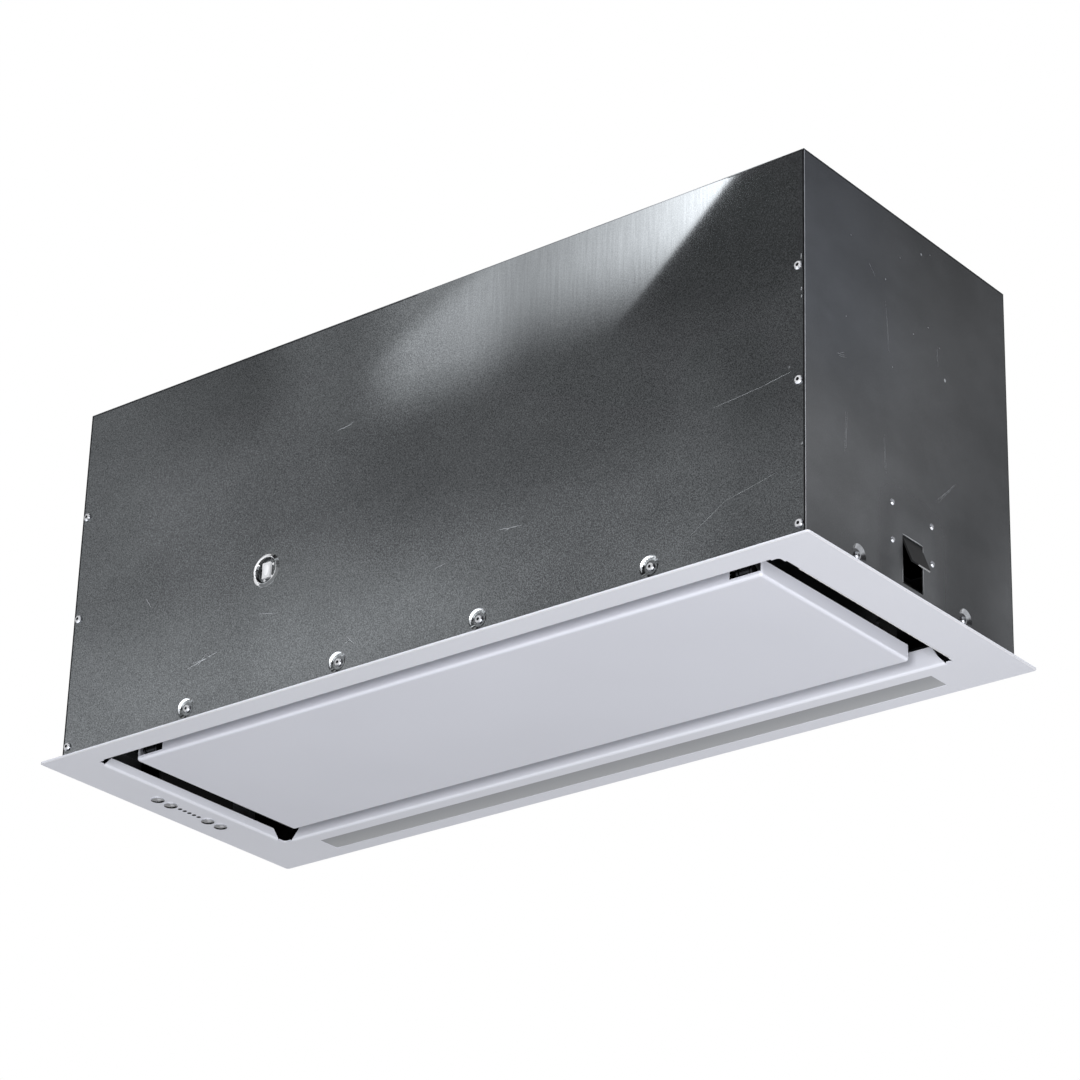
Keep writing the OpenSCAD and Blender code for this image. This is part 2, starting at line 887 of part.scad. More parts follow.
// Hooks under the back edge of each filter, and keepers under the tongues of its latch
module filter_brackets() {
  hook_y = filter_back + seat_gap;
  hook_z = filter_z - seat_gap - rail_t;
  keeper_y = filter_front - latch_reach - keeper_gap;
  keeper_z = filter_z - latch_t - 2 * seat_gap - rail_t;
  color("#8a8d90") both_x() translate([filter_x, 0, 0]) {
    block(-hook_w / 2, hook_w / 2, hook_y, hook_y + rail_t, hook_z, carrier_z);
    block(-hook_w / 2, hook_w / 2, filter_back - hook_reach, hook_y, hook_z, hook_z + rail_t);
    block(-keeper_w / 2, keeper_w / 2, keeper_y - rail_t, keeper_y, keeper_z, carrier_z);
    block(
      -keeper_w / 2, keeper_w / 2, keeper_y, filter_front - keeper_gap, keeper_z, keeper_z + rail_t
    );
  }
}

// Hinge arms, channels hung from the back strip, with their feet
module hinge_arms() {
  y0 = hinge_y - arm_d / 2;
  y1 = hinge_y + arm_d / 2;
  color("#8a8d90") both_x() translate([arm_x, 0, 0]) difference() {
    union() {
      block(-arm_w / 2, arm_w / 2, y0, y1, hinge_z, carrier_z);
      bar_x(-arm_w / 2, arm_w / 2, hinge_y, hinge_z, arm_d / 2);
      block(
        -arm_foot_w / 2, arm_foot_w / 2, hinge_y - arm_foot_front, hinge_y + arm_foot_back,
        carrier_z - arm_foot_t, carrier_z
      );
    }
    block(
      -arm_w / 2 + arm_t, arm_w / 2 - arm_t, y0 - over, y1 - arm_t,
      hinge_z - arm_d, carrier_z - arm_foot_t
    );
    bar_x(-arm_w, arm_w, hinge_y, hinge_z, hinge_pin_r + pin_clear);
  }
}

// Ears on the suction panel, on either side of each arm
module panel_ears() {
  base_z = panel_z + panel_t;
  ear_x = arm_w / 2 + ear_gap;
  color("#9a9ea2") both_x() translate([arm_x, 0, 0]) {
    block(
      -ear_x - ear_t, ear_x + ear_t, hinge_y - ear_base_front, panel_back - panel_bend_r,
      base_z, base_z + ear_base_t
    );
    both_x() difference() {
      union() {
        block(
          ear_x, ear_x + ear_t, hinge_y - ear_r, panel_back - panel_bend_r, base_z, hinge_z
        );
        bar_x(ear_x, ear_x + ear_t, hinge_y, hinge_z, ear_r);
      }
      bar_x(ear_x - over, ear_x + ear_t + over, hinge_y, hinge_z, hinge_pin_r + pin_clear);
      block(
        ear_x - over, ear_x + ear_t + over, panel_back - panel_bend_r, hinge_y + ear_r + over,
        base_z - over, panel_z + notch_sill + slip
      );
    }
  }
}
module hinge_pins() {
  half = arm_w / 2 + ear_gap + ear_t;
  color("#c8cacc") both_x() bar_x(arm_x - half, arm_x + half, hinge_y, hinge_z, hinge_pin_r);
}

// White suction panel: a tray with rounded folds and two notches in its back wall
module suction_panel() {
  r = panel_bend_r;
  r_in = panel_bend_r - panel_t;
  x = panel_x - r;
  y0 = panel_front + r;
  y1 = panel_back - r;
  z1 = panel_z + panel_wall_h;
  color("#cdcfd8") difference() {
    union() {
      block(-x, x, y0, y1, panel_z, panel_z + panel_t);
      both_x() panel_edge(y1 - y0, [x, (y0 + y1) / 2, panel_z], 0);
      panel_edge(2 * x, [0, y1, panel_z], 90);
      panel_edge(2 * x, [0, y0, panel_z], -90);
      for (cx = [-x, x], cy = [y0, y1]) translate([cx, cy, panel_z]) difference() {
        union() {
          translate([0, 0, r]) sphere(r, $fn = fine);
          translate([0, 0, r]) cylinder(h = panel_wall_h - r, r = r, $fn = fine);
        }
        translate([0, 0, r]) sphere(r_in, $fn = fine);
        translate([0, 0, r]) cylinder(h = panel_wall_h, r = r_in, $fn = fine);
        block(cx < 0 ? 0 : -2 * r, cx < 0 ? 2 * r : 0, -2 * r, 2 * r, -over, z1);
        block(-2 * r, 2 * r, cy > y0 ? -2 * r : 0, cy > y0 ? 0 : 2 * r, -over, z1);
      }
    }
    both_x() block(
      panel_x - panel_t - notch_w, panel_x - panel_t, panel_back - panel_t - over,
      panel_back + over, panel_z + notch_sill, z1 + over
    );
  }
}

// One fold of the panel with its wall, facing +X before it is turned
module panel_edge(len, at, turn) {
  r = panel_bend_r;
  translate(at) rotate(turn) translate([0, len / 2, 0]) rotate([90, 0, 0])
    linear_extrude(len) {
      translate([r - panel_t, r]) square([panel_t, panel_wall_h - r]);
      translate([0, r]) difference() {
        circle(r, $fn = fine);
        circle(r - panel_t, $fn = fine);
        translate([-r - over, -r - over]) square([r + over, 2 * r + 2 * over]);
        translate([-over, 0]) square([r + 2 * over, r + over]);
      }
    }
}

// Magnets hung from the front strip, and the steel posts on the panel that they hold
module magnet_catches() {
  y = panel_front + magnet_in;
  z0 = panel_z + panel_t + post_h + seat_gap;
  color("#3a3c3e") both_x() {
    block(
      magnet_x - magnet_w / 2, magnet_x + magnet_w / 2, y - magnet_d / 2, y + magnet_d / 2,
      carrier_z - magnet_t, carrier_z
    );
    block(
      magnet_x - magnet_w / 2 + magnet_t, magnet_x + magnet_w / 2 - magnet_t,
      y - magnet_d / 2 + magnet_t, y + magnet_d / 2 - magnet_t, z0, carrier_z
    );
  }
}
module strike_posts() {
  y = panel_front + magnet_in;
  z0 = panel_z + panel_t;
  color("#c8cacc") both_x() {
    block(
      magnet_x - post_base / 2, magnet_x + post_w / 2, y - post_base / 2, y + post_base / 2,
      z0, z0 + post_base_t
    );
    block(
      magnet_x - post_w / 2, magnet_x + post_w / 2, y - post_w / 2, y + post_w / 2, z0, z0 + post_h
    );
    block(
      magnet_x - magnet_w / 2 + magnet_t, magnet_x + magnet_w / 2 - magnet_t,
      y - magnet_d / 2 + magnet_t, y + magnet_d / 2 - magnet_t, z0 + post_h - post_base_t, z0 + post_h
    );
  }
}

// Outline of the scroll, around the blower's axis, with the outlet upwards
function scroll_r(i) = scroll_r0 + (scroll_r1 - scroll_r0) * i / spiral_steps;
function scroll_a(i) = tongue_angle + (360 - tongue_angle) * i / spiral_steps;
function scroll_points(inset, top) = concat(
  [for (i = [0 : spiral_steps]) (scroll_r(i) - inset) * [cos(scroll_a(i)), sin(scroll_a(i))]],
  [[scroll_r1 - inset, top], [-tongue_u + inset, top]]
);
module scroll_shape(inset, top) {
  polygon(scroll_points(inset, top));
}

// Stands an outline up in the plane of Y and Z and runs it along +X from x0
module scroll_run(x0, len) {
  translate([x0, blower_y, blower_z]) rotate([90, 0, 90]) linear_extrude(len)
    mirror([1, 0]) children();
}
module scroll_wrap() {
  top = wall_top_z - blower_z;
  half = scroll_w / 2 - scroll_t;
  color("#4a4d50") difference() {
    scroll_run(-half, 2 * half) scroll_shape(0, top);
    scroll_run(-half - over, 2 * half + 2 * over) scroll_shape(scroll_t, top + over);
  }
}

// Side plates of the scroll, with their inlets rolled outwards
module scroll_plates() {
  top = wall_top_z - blower_z;
  half = scroll_w / 2;
  color("#4a4d50") both_x() {
    difference() {
      scroll_run(half - scroll_t, scroll_t) scroll_shape(0, top);
      bar_x(0, half + over, blower_y, blower_z, inlet_r);
    }
    translate([half, blower_y, blower_z]) rotate([0, 90, 0]) rotate_extrude() polygon([
      [inlet_r, -scroll_t], [inlet_r + scroll_t, -scroll_t], [inlet_r + scroll_t, 0],
      [inlet_r + 2 * scroll_t, 2 * scroll_t], [inlet_r + scroll_t, 2 * scroll_t], [inlet_r, 0]
    ]);
  }
}

// Impeller: a disc with its hub, held in a cage of forward-leaning blades with three rings
module on_wheel() {
  translate([0, blower_y, blower_z]) rotate([0, 90, 0]) children();
}
module impeller_disc() {
  color("#2e3032") on_wheel() difference() {
    union() {
      translate([0, 0, -hub_t]) cylinder(h = hub_t, r = wheel_r - blade_d);
      translate([0, 0, -hub_t]) cylinder(h = hub_l, r = hub_r);
    }
    translate([0, 0, -hub_l]) cylinder(h = 3 * hub_l, r = shaft_d / 2 + pin_clear, $fn = fine);
  }
}
module wheel_ring(z, t, r) {
  translate([0, 0, z]) difference() {
    cylinder(h = t, r = r);
    translate([0, 0, -over]) cylinder(h = t + 2 * over, r = wheel_r - blade_d);
  }
}
module impeller_cage() {
  in_r = wheel_r - blade_d;
  color("#2e3032") on_wheel() {
    wheel_ring(-wheel_x, wheel_end_t, wheel_r);
    wheel_ring(wheel_x - wheel_end_t, wheel_end_t, wheel_r);
    wheel_ring(-hub_t, hub_t, in_r + blade_d / 3);
    for (i = [0 : blade_count - 1]) rotate(i * 360 / blade_count)
      translate([in_r + blade_root_share * blade_d, 0, -wheel_x + wheel_end_t / 2])
        rotate(blade_lean) translate([0, -blade_t / 2, 0])
          cube([
            blade_run_share * blade_d / cos(blade_lean), blade_t, 2 * wheel_x - wheel_end_t
          ]);
  }
}

// Motor inside the left half of the impeller
module motor_can() {
  x0 = motor_end_x;
  seat_l = motor_wall + bearing_l;
  color("#7a7d80") difference() {
    union() {
      difference() {
        bar_x(x0, motor_cap_x - motor_wall, blower_y, blower_z, motor_r);
        bar_x(x0 + motor_wall, motor_cap_x, blower_y, blower_z, motor_r - motor_wall);
      }
      bar_x(x0, x0 + seat_l, blower_y, blower_z, bearing_r + bearing_wall);
    }
    bar_x(x0 + motor_wall, x0 + seat_l + over, blower_y, blower_z, bearing_r);
    bar_x(x0 - over, x0 + seat_l, blower_y, blower_z, shaft_d / 2 + shaft_room);
  }
}
module motor_cap() {
  x1 = motor_cap_x;
  color("#7a7d80") difference() {
    union() {
      bar_x(x1 - motor_wall, x1, blower_y, blower_z, motor_r);
      bar_x(x1 - motor_wall - bearing_l, x1, blower_y, blower_z, bearing_r + bearing_wall);
    }
    bar_x(x1 - motor_wall - bearing_l - over, x1 - motor_wall, blower_y, blower_z, bearing_r);
    bar_x(x1 - bearing_l, x1 + over, blower_y, blower_z, shaft_d / 2 + shaft_room);
  }
}
module motor_bearings() {
  bore = shaft_d / 2 + pin_clear;
  color("#b08d4a") for (x = [motor_end_x + motor_wall, motor_cap_x - motor_wall - bearing_l])
    difference() {
      bar_x(x, x + bearing_l, blower_y, blower_z, bearing_r - pin_clear);
      bar_x(x - over, x + bearing_l + over, blower_y, blower_z, bore);
    }
}
function stator_x0() = (motor_end_x + motor_cap_x) / 2 - stator_l / 2;
module stator() {
  x0 = stator_x0();
  color("#8c5a32") difference() {
    bar_x(x0, x0 + stator_l, blower_y, blower_z, motor_r - motor_wall - pin_clear);
    bar_x(x0 - over, x0 + stator_l + over, blower_y, blower_z, stator_in_r);
  }
}

// Shaft with the rotor on it, one turned and pressed piece
module motor_shaft() {
  x0 = stator_x0();
  color("#c8cacc") {
    bar_x(motor_end_x + motor_wall, hub_l - hub_t, blower_y, blower_z, shaft_d / 2);
    bar_x(x0, x0 + stator_l, blower_y, blower_z, stator_in_r - rotor_gap);
  }
}

// Three-armed bracket that holds the motor at the left inlet
module motor_spider() {
  x1 = -scroll_w / 2 - 2 * scroll_t - bush_t;
  color("#5a5d60") {
    bar_x(x1, motor_end_x, blower_y, blower_z, spider_hub_r);
    at_bushes() block(
      x1 - spider_t, x1, -spider_arm_w / 2, spider_arm_w / 2, -bush_r, bush_at + bush_r
    );
    bar_x(x1 - spider_t, x1, blower_y, blower_z, spider_hub_r);
  }
}
module at_bushes() {
  for (a = [0, 120, 240]) translate([0, blower_y, blower_z]) rotate([a, 0, 0]) children();
}
module motor_bushes() {
  x0 = -scroll_w / 2 - 2 * scroll_t - bush_t;
  color("#222426") at_bushes() bar_x(x0, -scroll_w / 2, 0, bush_at, bush_r);
}

// Outlet collar with its square foot, and the ledge that the flaps rest on
module at_collar_screws() {
  reach = collar_foot / 2 - collar_screw_in;
  for (x = [-1, 1], y = [-1, 1]) translate([x * reach, outlet_y + y * reach, 0]) children();
}
module outlet_collar() {
  collar_top = top_z + collar_h;
  foot = collar_foot / 2;
  color("#c9c6bc") difference() {
    union() {
      translate([0, outlet_y, top_z]) linear_extrude(collar_foot_t)
        round_rect(-foot, foot, -foot, foot, collar_screw_in);
      bar_z(0, outlet_y, top_z, collar_top, collar_r);
    }
    bar_z(0, outlet_y, top_z - over, ledge_z - ledge_t, collar_in_r);
    bar_z(0, outlet_y, ledge_z - ledge_t - over, ledge_z + over, collar_in_r - ledge_w);
    bar_z(0, outlet_y, ledge_z, collar_top + over, collar_in_r);
    bar_x(-collar_r - over, collar_r + over, outlet_y, flap_z, flap_pin_r + pin_clear);
    at_collar_screws() bar_z(0, 0, top_z - over, top_z + collar_foot_t + over, screw_hole_r);
  }
}
module flap_pin() {
  color("#c8cacc") bar_x(-collar_r, collar_r, outlet_y, flap_z, flap_pin_r);
}

// One half-round flap on the +Y side of the pin, with its two knuckles
module flap() {
  starts = [-2 * knuckle_w - 1.5 * knuckle_gap, knuckle_gap / 2];
  translate([0, outlet_y, flap_z]) difference() {
    union() {
      intersection() {
        translate([0, 0, -flap_t / 2]) cylinder(h = flap_t, r = flap_r);
        block(-flap_r, flap_r, flap_off, flap_r, -flap_t, flap_t);
      }
      for (x = starts) {
        bar_x(x, x + knuckle_w, 0, 0, knuckle_r);
        block(x, x + knuckle_w, 0, flap_off + flap_t, -flap_t / 2, flap_t / 2);
      }
    }
    bar_x(-flap_r, flap_r, 0, 0, flap_pin_r + pin_clear);
  }
}
module flap_back() {
  color("#a8a69e") flap();
}
module flap_front() {
  color("#a8a69e") translate([0, 2 * outlet_y, 0]) rotate(180) flap();
}

// Lamp
module led_channel() {
  inner = led_w / 2;
  outer = inner + led_wall;
  x = led_x + led_rest + led_wall;
  z1 = flange_z + led_h;
  color("#b4b8bc") difference() {
    block(-x, x, led_y - outer, led_y + outer, flange_z, z1);
    block(
      -x + led_wall, x - led_wall, led_y - inner, led_y + inner, flange_z - over, z1 - led_wall
    );
  }
}
module led_board() {
  z1 = flange_z + led_h - led_wall;
  z0 = z1 - led_board_t;
  pitch = 2 * led_x / led_chips;
  color("#e8e8e0") {
    block(-led_x, led_x, led_y - led_board_w / 2, led_y + led_board_w / 2, z0, z1);
    for (i = [0 : led_chips - 1]) translate([-led_x + (i + 0.5) * pitch, led_y, z0 - led_chip_h])
      translate([-led_chip / 2, -led_chip / 2, 0]) cube([led_chip, led_chip, led_chip_h]);
  }
}
module led_diffuser() {
  x = led_x + led_rest;
  color("#aeb2b6") block(
    -x, x, led_y - led_w / 2 + slip, led_y + led_w / 2 - slip, flange_z, flange_z + diffuser_t
  );
}
module led_driver() {
  y1 = hy - driver_in;
  x0 = -hx + driver_in;
  color("#d8dade") block(
    x0, x0 + driver_l, y1 - driver_d, y1, carrier_top, carrier_top + driver_h
  );
}

// Controls
module control_housing() {
  y0 = button_y[3] - control_end;
  y1 = button_y[0] + control_end;
  x0 = button_x - control_w / 2;
  x1 = button_x + control_w / 2;
  color("#26282a") difference() {
    block(x0, x1, y0, y1, flange_z, control_top);
    block(
      x0 + control_wall, x1 - control_wall, y0 + control_wall, y1 - control_wall,
      flange_z - over, control_top - control_wall
    );
  }
}
module control_board() {
  y0 = button_y[3] - control_end + control_wall + slip;
  y1 = button_y[0] + control_end - control_wall - slip;
  half = control_w / 2 - control_wall - slip;
  color("#2f6b46") {
    block(button_x - half, button_x + half, y0, y1, board_z, board_z + board_t);
    for (y = button_y) block(
      button_x - switch_w / 2, button_x + switch_w / 2, y - switch_w / 2, y + switch_w / 2,
      switch_z, board_z
    );
  }
}
module button_bezels() {
  color("#d8dade") for (y = button_y) difference() {
    union() {
      bar_z(button_x, y, trim_z - bezel_h, trim_z, bezel_d / 2);
      bar_z(button_x, y, trim_z - bezel_h, flange_z + bezel_barrel, button_hole_r + bezel_wall);
    }
    bar_z(button_x, y, 0, shoulder_z + over, button_hole_r);
  }
}
module button(y) {
  crown_r = (button_r * button_r + button_crown_h * button_crown_h) / (2 * button_crown_h);
  color("#c8cacc") {
    intersection() {
      bar_z(button_x, y, 0, shoulder_z, button_r);
      translate([button_x, y, crown_r]) sphere(crown_r);
    }
    bar_z(button_x, y, shoulder_z, shoulder_z + shoulder_t, button_hole_r + bezel_wall);
    bar_z(button_x, y, shoulder_z + shoulder_t, plunger_top, plunger_r);
  }
}
module button_1() { button(button_y[0]); }
module button_2() { button(button_y[1]); }
module button_3() { button(button_y[2]); }
module button_4() { button(button_y[3]); }
module indicator_lenses() {
  color("#33363a") for (i = [0 : indicator_count - 1]) block(
    button_x - indicator_l / 2 + pin_clear, button_x + indicator_l / 2 - pin_clear,
    indicator_y(i) - indicator_w / 2 + pin_clear, indicator_y(i) + indicator_w / 2 - pin_clear,
    trim_z + indicator_inset, board_z
  );
}

// Electronics hung under the top panel
module electronics_box() {
  z0 = wall_top_z - box_h;
  color("#8a8d90") difference() {
    block(box_x - box_l / 2, box_x + box_l / 2, box_y - box_d / 2, box_y + box_d / 2, z0, wall_top_z);
    block(
      box_x - box_l / 2 + box_wall, box_x + box_l / 2 - box_wall,
      box_y - box_d / 2 + box_wall, box_y + box_d / 2 - box_wall, z0 - over, wall_top_z - box_wall
    );
  }
}
module electronics_lid() {
  z0 = wall_top_z - box_h;
  color("#8a8d90") block(
    box_x - box_l / 2, box_x + box_l / 2, box_y - box_d / 2, box_y + box_d / 2, z0 - box_lid_t, z0
  );
}
module power_board() {
  z1 = wall_top_z - box_wall;
  z0 = z1 - power_board_rise;
  half_l = box_l / 2 - box_wall - seat_gap;
  half_d = box_d / 2 - box_wall - seat_gap;
  color("#2f6b46") {
    block(box_x - half_l, box_x + half_l, box_y - half_d, box_y + half_d, z0, z0 + board_t);
    for (x = [-1, 1], y = [-1, 1]) bar_z(
      box_x + x * (half_l - screw_head_r), box_y + y * (half_d - screw_head_r), z0, z1, screw_head_r
    );
  }
}
module motor_capacitor() {
  color("#d8dade") bar_z(
    box_x, box_y + capacitor_y, wall_top_z - capacitor_h, wall_top_z, capacitor_r
  );
}
module cable_gland() {
  color("#2a2c2e") difference() {
    union() {
      bar_z(gland_x, gland_y, wall_top_z - gland_nut_h, top_z + gland_nut_h, gland_hole_r);
      translate([gland_x, gland_y, top_z]) cylinder(h = gland_nut_h, r = gland_hex_r, $fn = 6);
      translate([gland_x, gland_y, wall_top_z - gland_nut_h])
        cylinder(h = gland_nut_h, r = gland_hex_r, $fn = 6);
      bar_z(gland_x, gland_y, top_z + gland_nut_h, top_z + gland_dome_h, gland_dome_r);
      translate([gland_x, gland_y, top_z + gland_dome_h])
        cylinder(h = gland_nut_h, r1 = gland_dome_r, r2 = gland_bore_r + gland_tip_wall);
    }
    bar_z(
      gland_x, gland_y, wall_top_z - gland_nut_h - over, top_z + gland_dome_h + gland_nut_h + over,
      gland_bore_r
    );
  }
}

// Side catches, drawn at the +X end
module at_rivets() {
  for (y = [-rivet_y, rivet_y], z = [slot_top - rivet_drop_h, slot_top + rivet_rise_h])
    translate([0, y, z]) children();
}
module at_catch_pin() {
  translate([hx - catch_pin_in, 0, catch_pin_z]) children();
}
module catch_bracket() {
  x1 = hx - sheet_t;
  x0 = x1 - catch_t;
  ear_y = slot_w / 2 + slip;
  difference() {
    union() {
      block(
        x0, x1, -catch_plate_y, catch_plate_y, slot_top - catch_plate_low, slot_top + catch_plate_high
      );
      both_y() block(
        hx - catch_ear_in, x1, ear_y, ear_y + catch_ear_t,
        catch_pin_z - catch_ear_low, catch_pin_z + catch_ear_high
      );
    }
    block(
      x0 - over, x1 + over, -ear_y, ear_y, slot_top - catch_plate_low - over,
      catch_pin_z + catch_ear_high
    );
    at_rivets() on_end(0, 0)
      translate([0, 0, -over]) cylinder(h = screw_l, r = rivet_r + pin_clear, $fn = fine);
    at_catch_pin() bar_y(0, -hy, hy, 0, catch_pin_r + pin_clear);
  }
}
module catch_brackets() {
  color("#7c8083") both_x() catch_bracket();
}
module catch_pins() {
  half = slot_w / 2 + slip + catch_ear_t;
  color("#c8cacc") both_x() at_catch_pin() bar_y(0, -half, half, 0, catch_pin_r);
}
module side_catch() {
  half = catch_w / 2;
  color("#1e2022") at_catch_pin() rotate([0, -catch_angle, 0]) difference() {
    union() {
      block(catch_out_n - catch_t, catch_out_n, -half, half, -catch_l, 0);
      bar_y(0, -half, half, 0, catch_knuckle_r);
    }
    bar_y(0, -half - over, half + over, 0, catch_pin_r + pin_clear);
  }
}
module catch_left() {
  mirror([1, 0, 0]) side_catch();
}
module catch_right() {
  side_catch();
}
module end_rivets() {
  grip = sheet_t + catch_t;
  color("#c8cacc") both_x() at_rivets() on_end(0, 0) {
    translate([0, 0, -rivet_head_h])
      cylinder(h = rivet_head_h, r1 = rivet_head_r * rivet_top_share, r2 = rivet_head_r, $fn = fine);
    cylinder(h = grip, r = rivet_r, $fn = fine);
    translate([0, 0, grip]) cylinder(h = rivet_head_h, r = rivet_head_r, $fn = fine);
  }
}

// All the sheet screws: covers, dimples and outlet collar
module sheet_screws() {
  color("#c8cacc") {
    both_y() at_cover_screws() on_back(0, 0) screw();
    both_y() at_long_dimples() on_back(0, 0) translate([0, 0, dimple_h]) screw();
    both_x() at_end_dimples() on_end(0, 0) translate([0, 0, dimple_h]) screw();
    at_collar_screws() translate([0, 0, top_z + collar_foot_t]) mirror([0, 0, 1]) screw();
  }
}

back_cover();
front_cover();
end_panel_left();
end_panel_right();
top_panel();
trim_frame();
long_rails();
end_brackets();
carrier_strips();
carrier_ends();
filter_brackets();
hinge_arms();
magnet_catches();
scroll_wrap();
scroll_plates();
motor_can();
motor_cap();
stator();
motor_bearings();
motor_spider();
motor_bushes();
outlet_collar();
flap_pin();
led_channel();
led_board();
led_diffuser();
led_driver();
control_housing();
control_board();
button_bezels();
indicator_lenses();
electronics_box();
electronics_lid();
power_board();
motor_capacitor();
cable_gland();
catch_brackets();
catch_pins();
end_rivets();
sheet_screws();
ring_clip();
filter_frames();
filter_meshes();
latch_left();
latch_right();
suction_panel();
panel_ears();
hinge_pins();
strike_posts();
impeller_disc();
impeller_cage();
motor_shaft();
flap_back();
flap_front();
button_1();
button_2();
button_3();
button_4();
catch_left();
catch_right();
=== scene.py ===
"""Looks of the ceiling range hood: materials, fine details, light and camera."""
import math
import random

import bmesh
import bpy
from mathutils import Matrix, Vector


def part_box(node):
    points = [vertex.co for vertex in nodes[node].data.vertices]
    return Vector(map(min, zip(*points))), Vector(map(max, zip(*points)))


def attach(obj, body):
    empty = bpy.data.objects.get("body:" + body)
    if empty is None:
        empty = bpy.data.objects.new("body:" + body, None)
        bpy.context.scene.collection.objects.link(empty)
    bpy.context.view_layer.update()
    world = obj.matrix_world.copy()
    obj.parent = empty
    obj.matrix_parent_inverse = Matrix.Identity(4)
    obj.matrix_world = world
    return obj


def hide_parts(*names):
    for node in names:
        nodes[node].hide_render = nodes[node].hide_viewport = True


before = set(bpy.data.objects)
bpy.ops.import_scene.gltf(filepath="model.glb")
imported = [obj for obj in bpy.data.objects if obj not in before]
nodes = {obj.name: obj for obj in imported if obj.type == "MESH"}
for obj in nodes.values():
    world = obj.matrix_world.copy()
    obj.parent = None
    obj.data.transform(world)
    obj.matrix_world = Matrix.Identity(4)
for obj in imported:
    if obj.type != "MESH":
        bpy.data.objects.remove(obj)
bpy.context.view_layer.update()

# Outer faces of the housing in metres: half its length, and half its depth
FACE_X = 0.425
FACE_Y = 0.157

# Materials


class Mat:
    """A small builder of node materials in object coordinates, in metres."""

    def __init__(self, name, metallic=0.0, rough=0.5, color=(0.5, 0.5, 0.5), **sockets):
        self.m = bpy.data.materials.new(name)
        self.m.use_nodes = True
        self.t = self.m.node_tree
        self.b = self.t.nodes["Principled BSDF"]
        self.b.inputs["Metallic"].default_value = metallic
        self.b.inputs["Roughness"].default_value = rough
        self.b.inputs["Base Color"].default_value = (*color, 1)
        for k, v in sockets.items():
            self.b.inputs[k.replace("_", " ")].default_value = v
        self.co = self.t.nodes.new("ShaderNodeTexCoord").outputs["Object"]

    def link(self, a, b):
        self.t.links.new(a, b)

    def node(self, kind, **props):
        n = self.t.nodes.new(kind)
        for k, v in props.items():
            setattr(n, k, v)
        return n

    def mapped(self, scale):
        n = self.node("ShaderNodeMapping")
        n.inputs["Scale"].default_value = scale
        self.link(self.co, n.inputs["Vector"])
        return n.outputs["Vector"]

    def noise(self, scale, detail=3.0, rough=0.55, stretch=(1, 1, 1)):
        n = self.node("ShaderNodeTexNoise")
        n.inputs["Scale"].default_value = scale
        n.inputs["Detail"].default_value = detail
        n.inputs["Roughness"].default_value = rough
        self.link(self.mapped(stretch), n.inputs["Vector"])
        return n.outputs["Fac"]

    def cells(self, scale, out="Color", stretch=(1, 1, 1)):
        n = self.node("ShaderNodeTexVoronoi")
        n.inputs["Scale"].default_value = scale
        self.link(self.mapped(stretch), n.inputs["Vector"])
        return n.outputs[out]

    def math(self, op, a, b=0.0, clamp=False):
        n = self.node("ShaderNodeMath", operation=op, use_clamp=clamp)
        for i, v in enumerate((a, b)):
            if isinstance(v, (int, float)):
                n.inputs[i].default_value = v
            else:
                self.link(v, n.inputs[i])
        return n.outputs[0]

    def add(self, *values):
        out = values[0]
        for v in values[1:]:
            out = self.math("ADD", out, v)
        return out

    def mul(self, *values):
        out = values[0]
        for v in values[1:]:
            out = self.math("MULTIPLY", out, v)
        return out

    def curve(self, fac, lo, hi, a=0.0, b=1.0):
        """A smooth step from a to b, as fac goes from lo to hi."""
        n = self.node("ShaderNodeMapRange", interpolation_type="SMOOTHSTEP")
        self.link(fac, n.inputs["Value"])
        for k, v in (("From Min", lo), ("From Max", hi), ("To Min", a), ("To Max", b)):
            n.inputs[k].default_value = v
        return n.outputs["Result"]

    def mix(self, fac, a, b):
        n = self.node("ShaderNodeMix", data_type="RGBA")
        for sock, v in ((n.inputs[0], fac), (n.inputs[6], a), (n.inputs[7], b)):
            if isinstance(v, (int, float)):
                sock.default_value = v
            elif isinstance(v, tuple):
                sock.default_value = (*v, 1)
            else:
                self.link(v, sock)
        return n.outputs[2]

    def color(self, value):
        self.link(value, self.b.inputs["Base Color"])

    def rough(self, value):
        self.link(value, self.b.inputs["Roughness"])

    def bump(self, height, strength, distance):
        n = self.node("ShaderNodeBump")
        n.inputs["Strength"].default_value = strength
        n.inputs["Distance"].default_value = distance
        self.link(height, n.inputs["Height"])
        self.link(n.outputs["Normal"], self.b.inputs["Normal"])

    def axis(self, name):
        n = self.node("ShaderNodeSeparateXYZ")
        self.link(self.co, n.inputs[0])
        return n.outputs[name]


def lin(r, g, b):
    """A colour as it looks on screen, 0 to 255, as linear light."""
    return tuple(
        (v / 255 / 12.92) if v <= 10 else ((v / 255 + 0.055) / 1.055) ** 2.4 for v in (r, g, b)
    )


# The smooth, vertically streaked place on the covers: it begins at this height and length, and
# ends at a slanting line, given by its normal and its distances, all in metres. It lies just
# where the bright reflection falls, so its calmed grain is painted to suit that highlight, not wear
CALM_Z = (0.23, 0.33)
CALM_X = (0.06, -0.12)
CALM_NORMAL = (0.652, 0.758)
CALM_EDGE = (0.0434, 0.0554)
# The dull place around the slot of an end panel: middle height, half lengths and half heights
SLOT_Z = 0.042
SLOT_Y_REACH = (0.060, 0.020)
SLOT_Z_REACH = (0.075, 0.030)


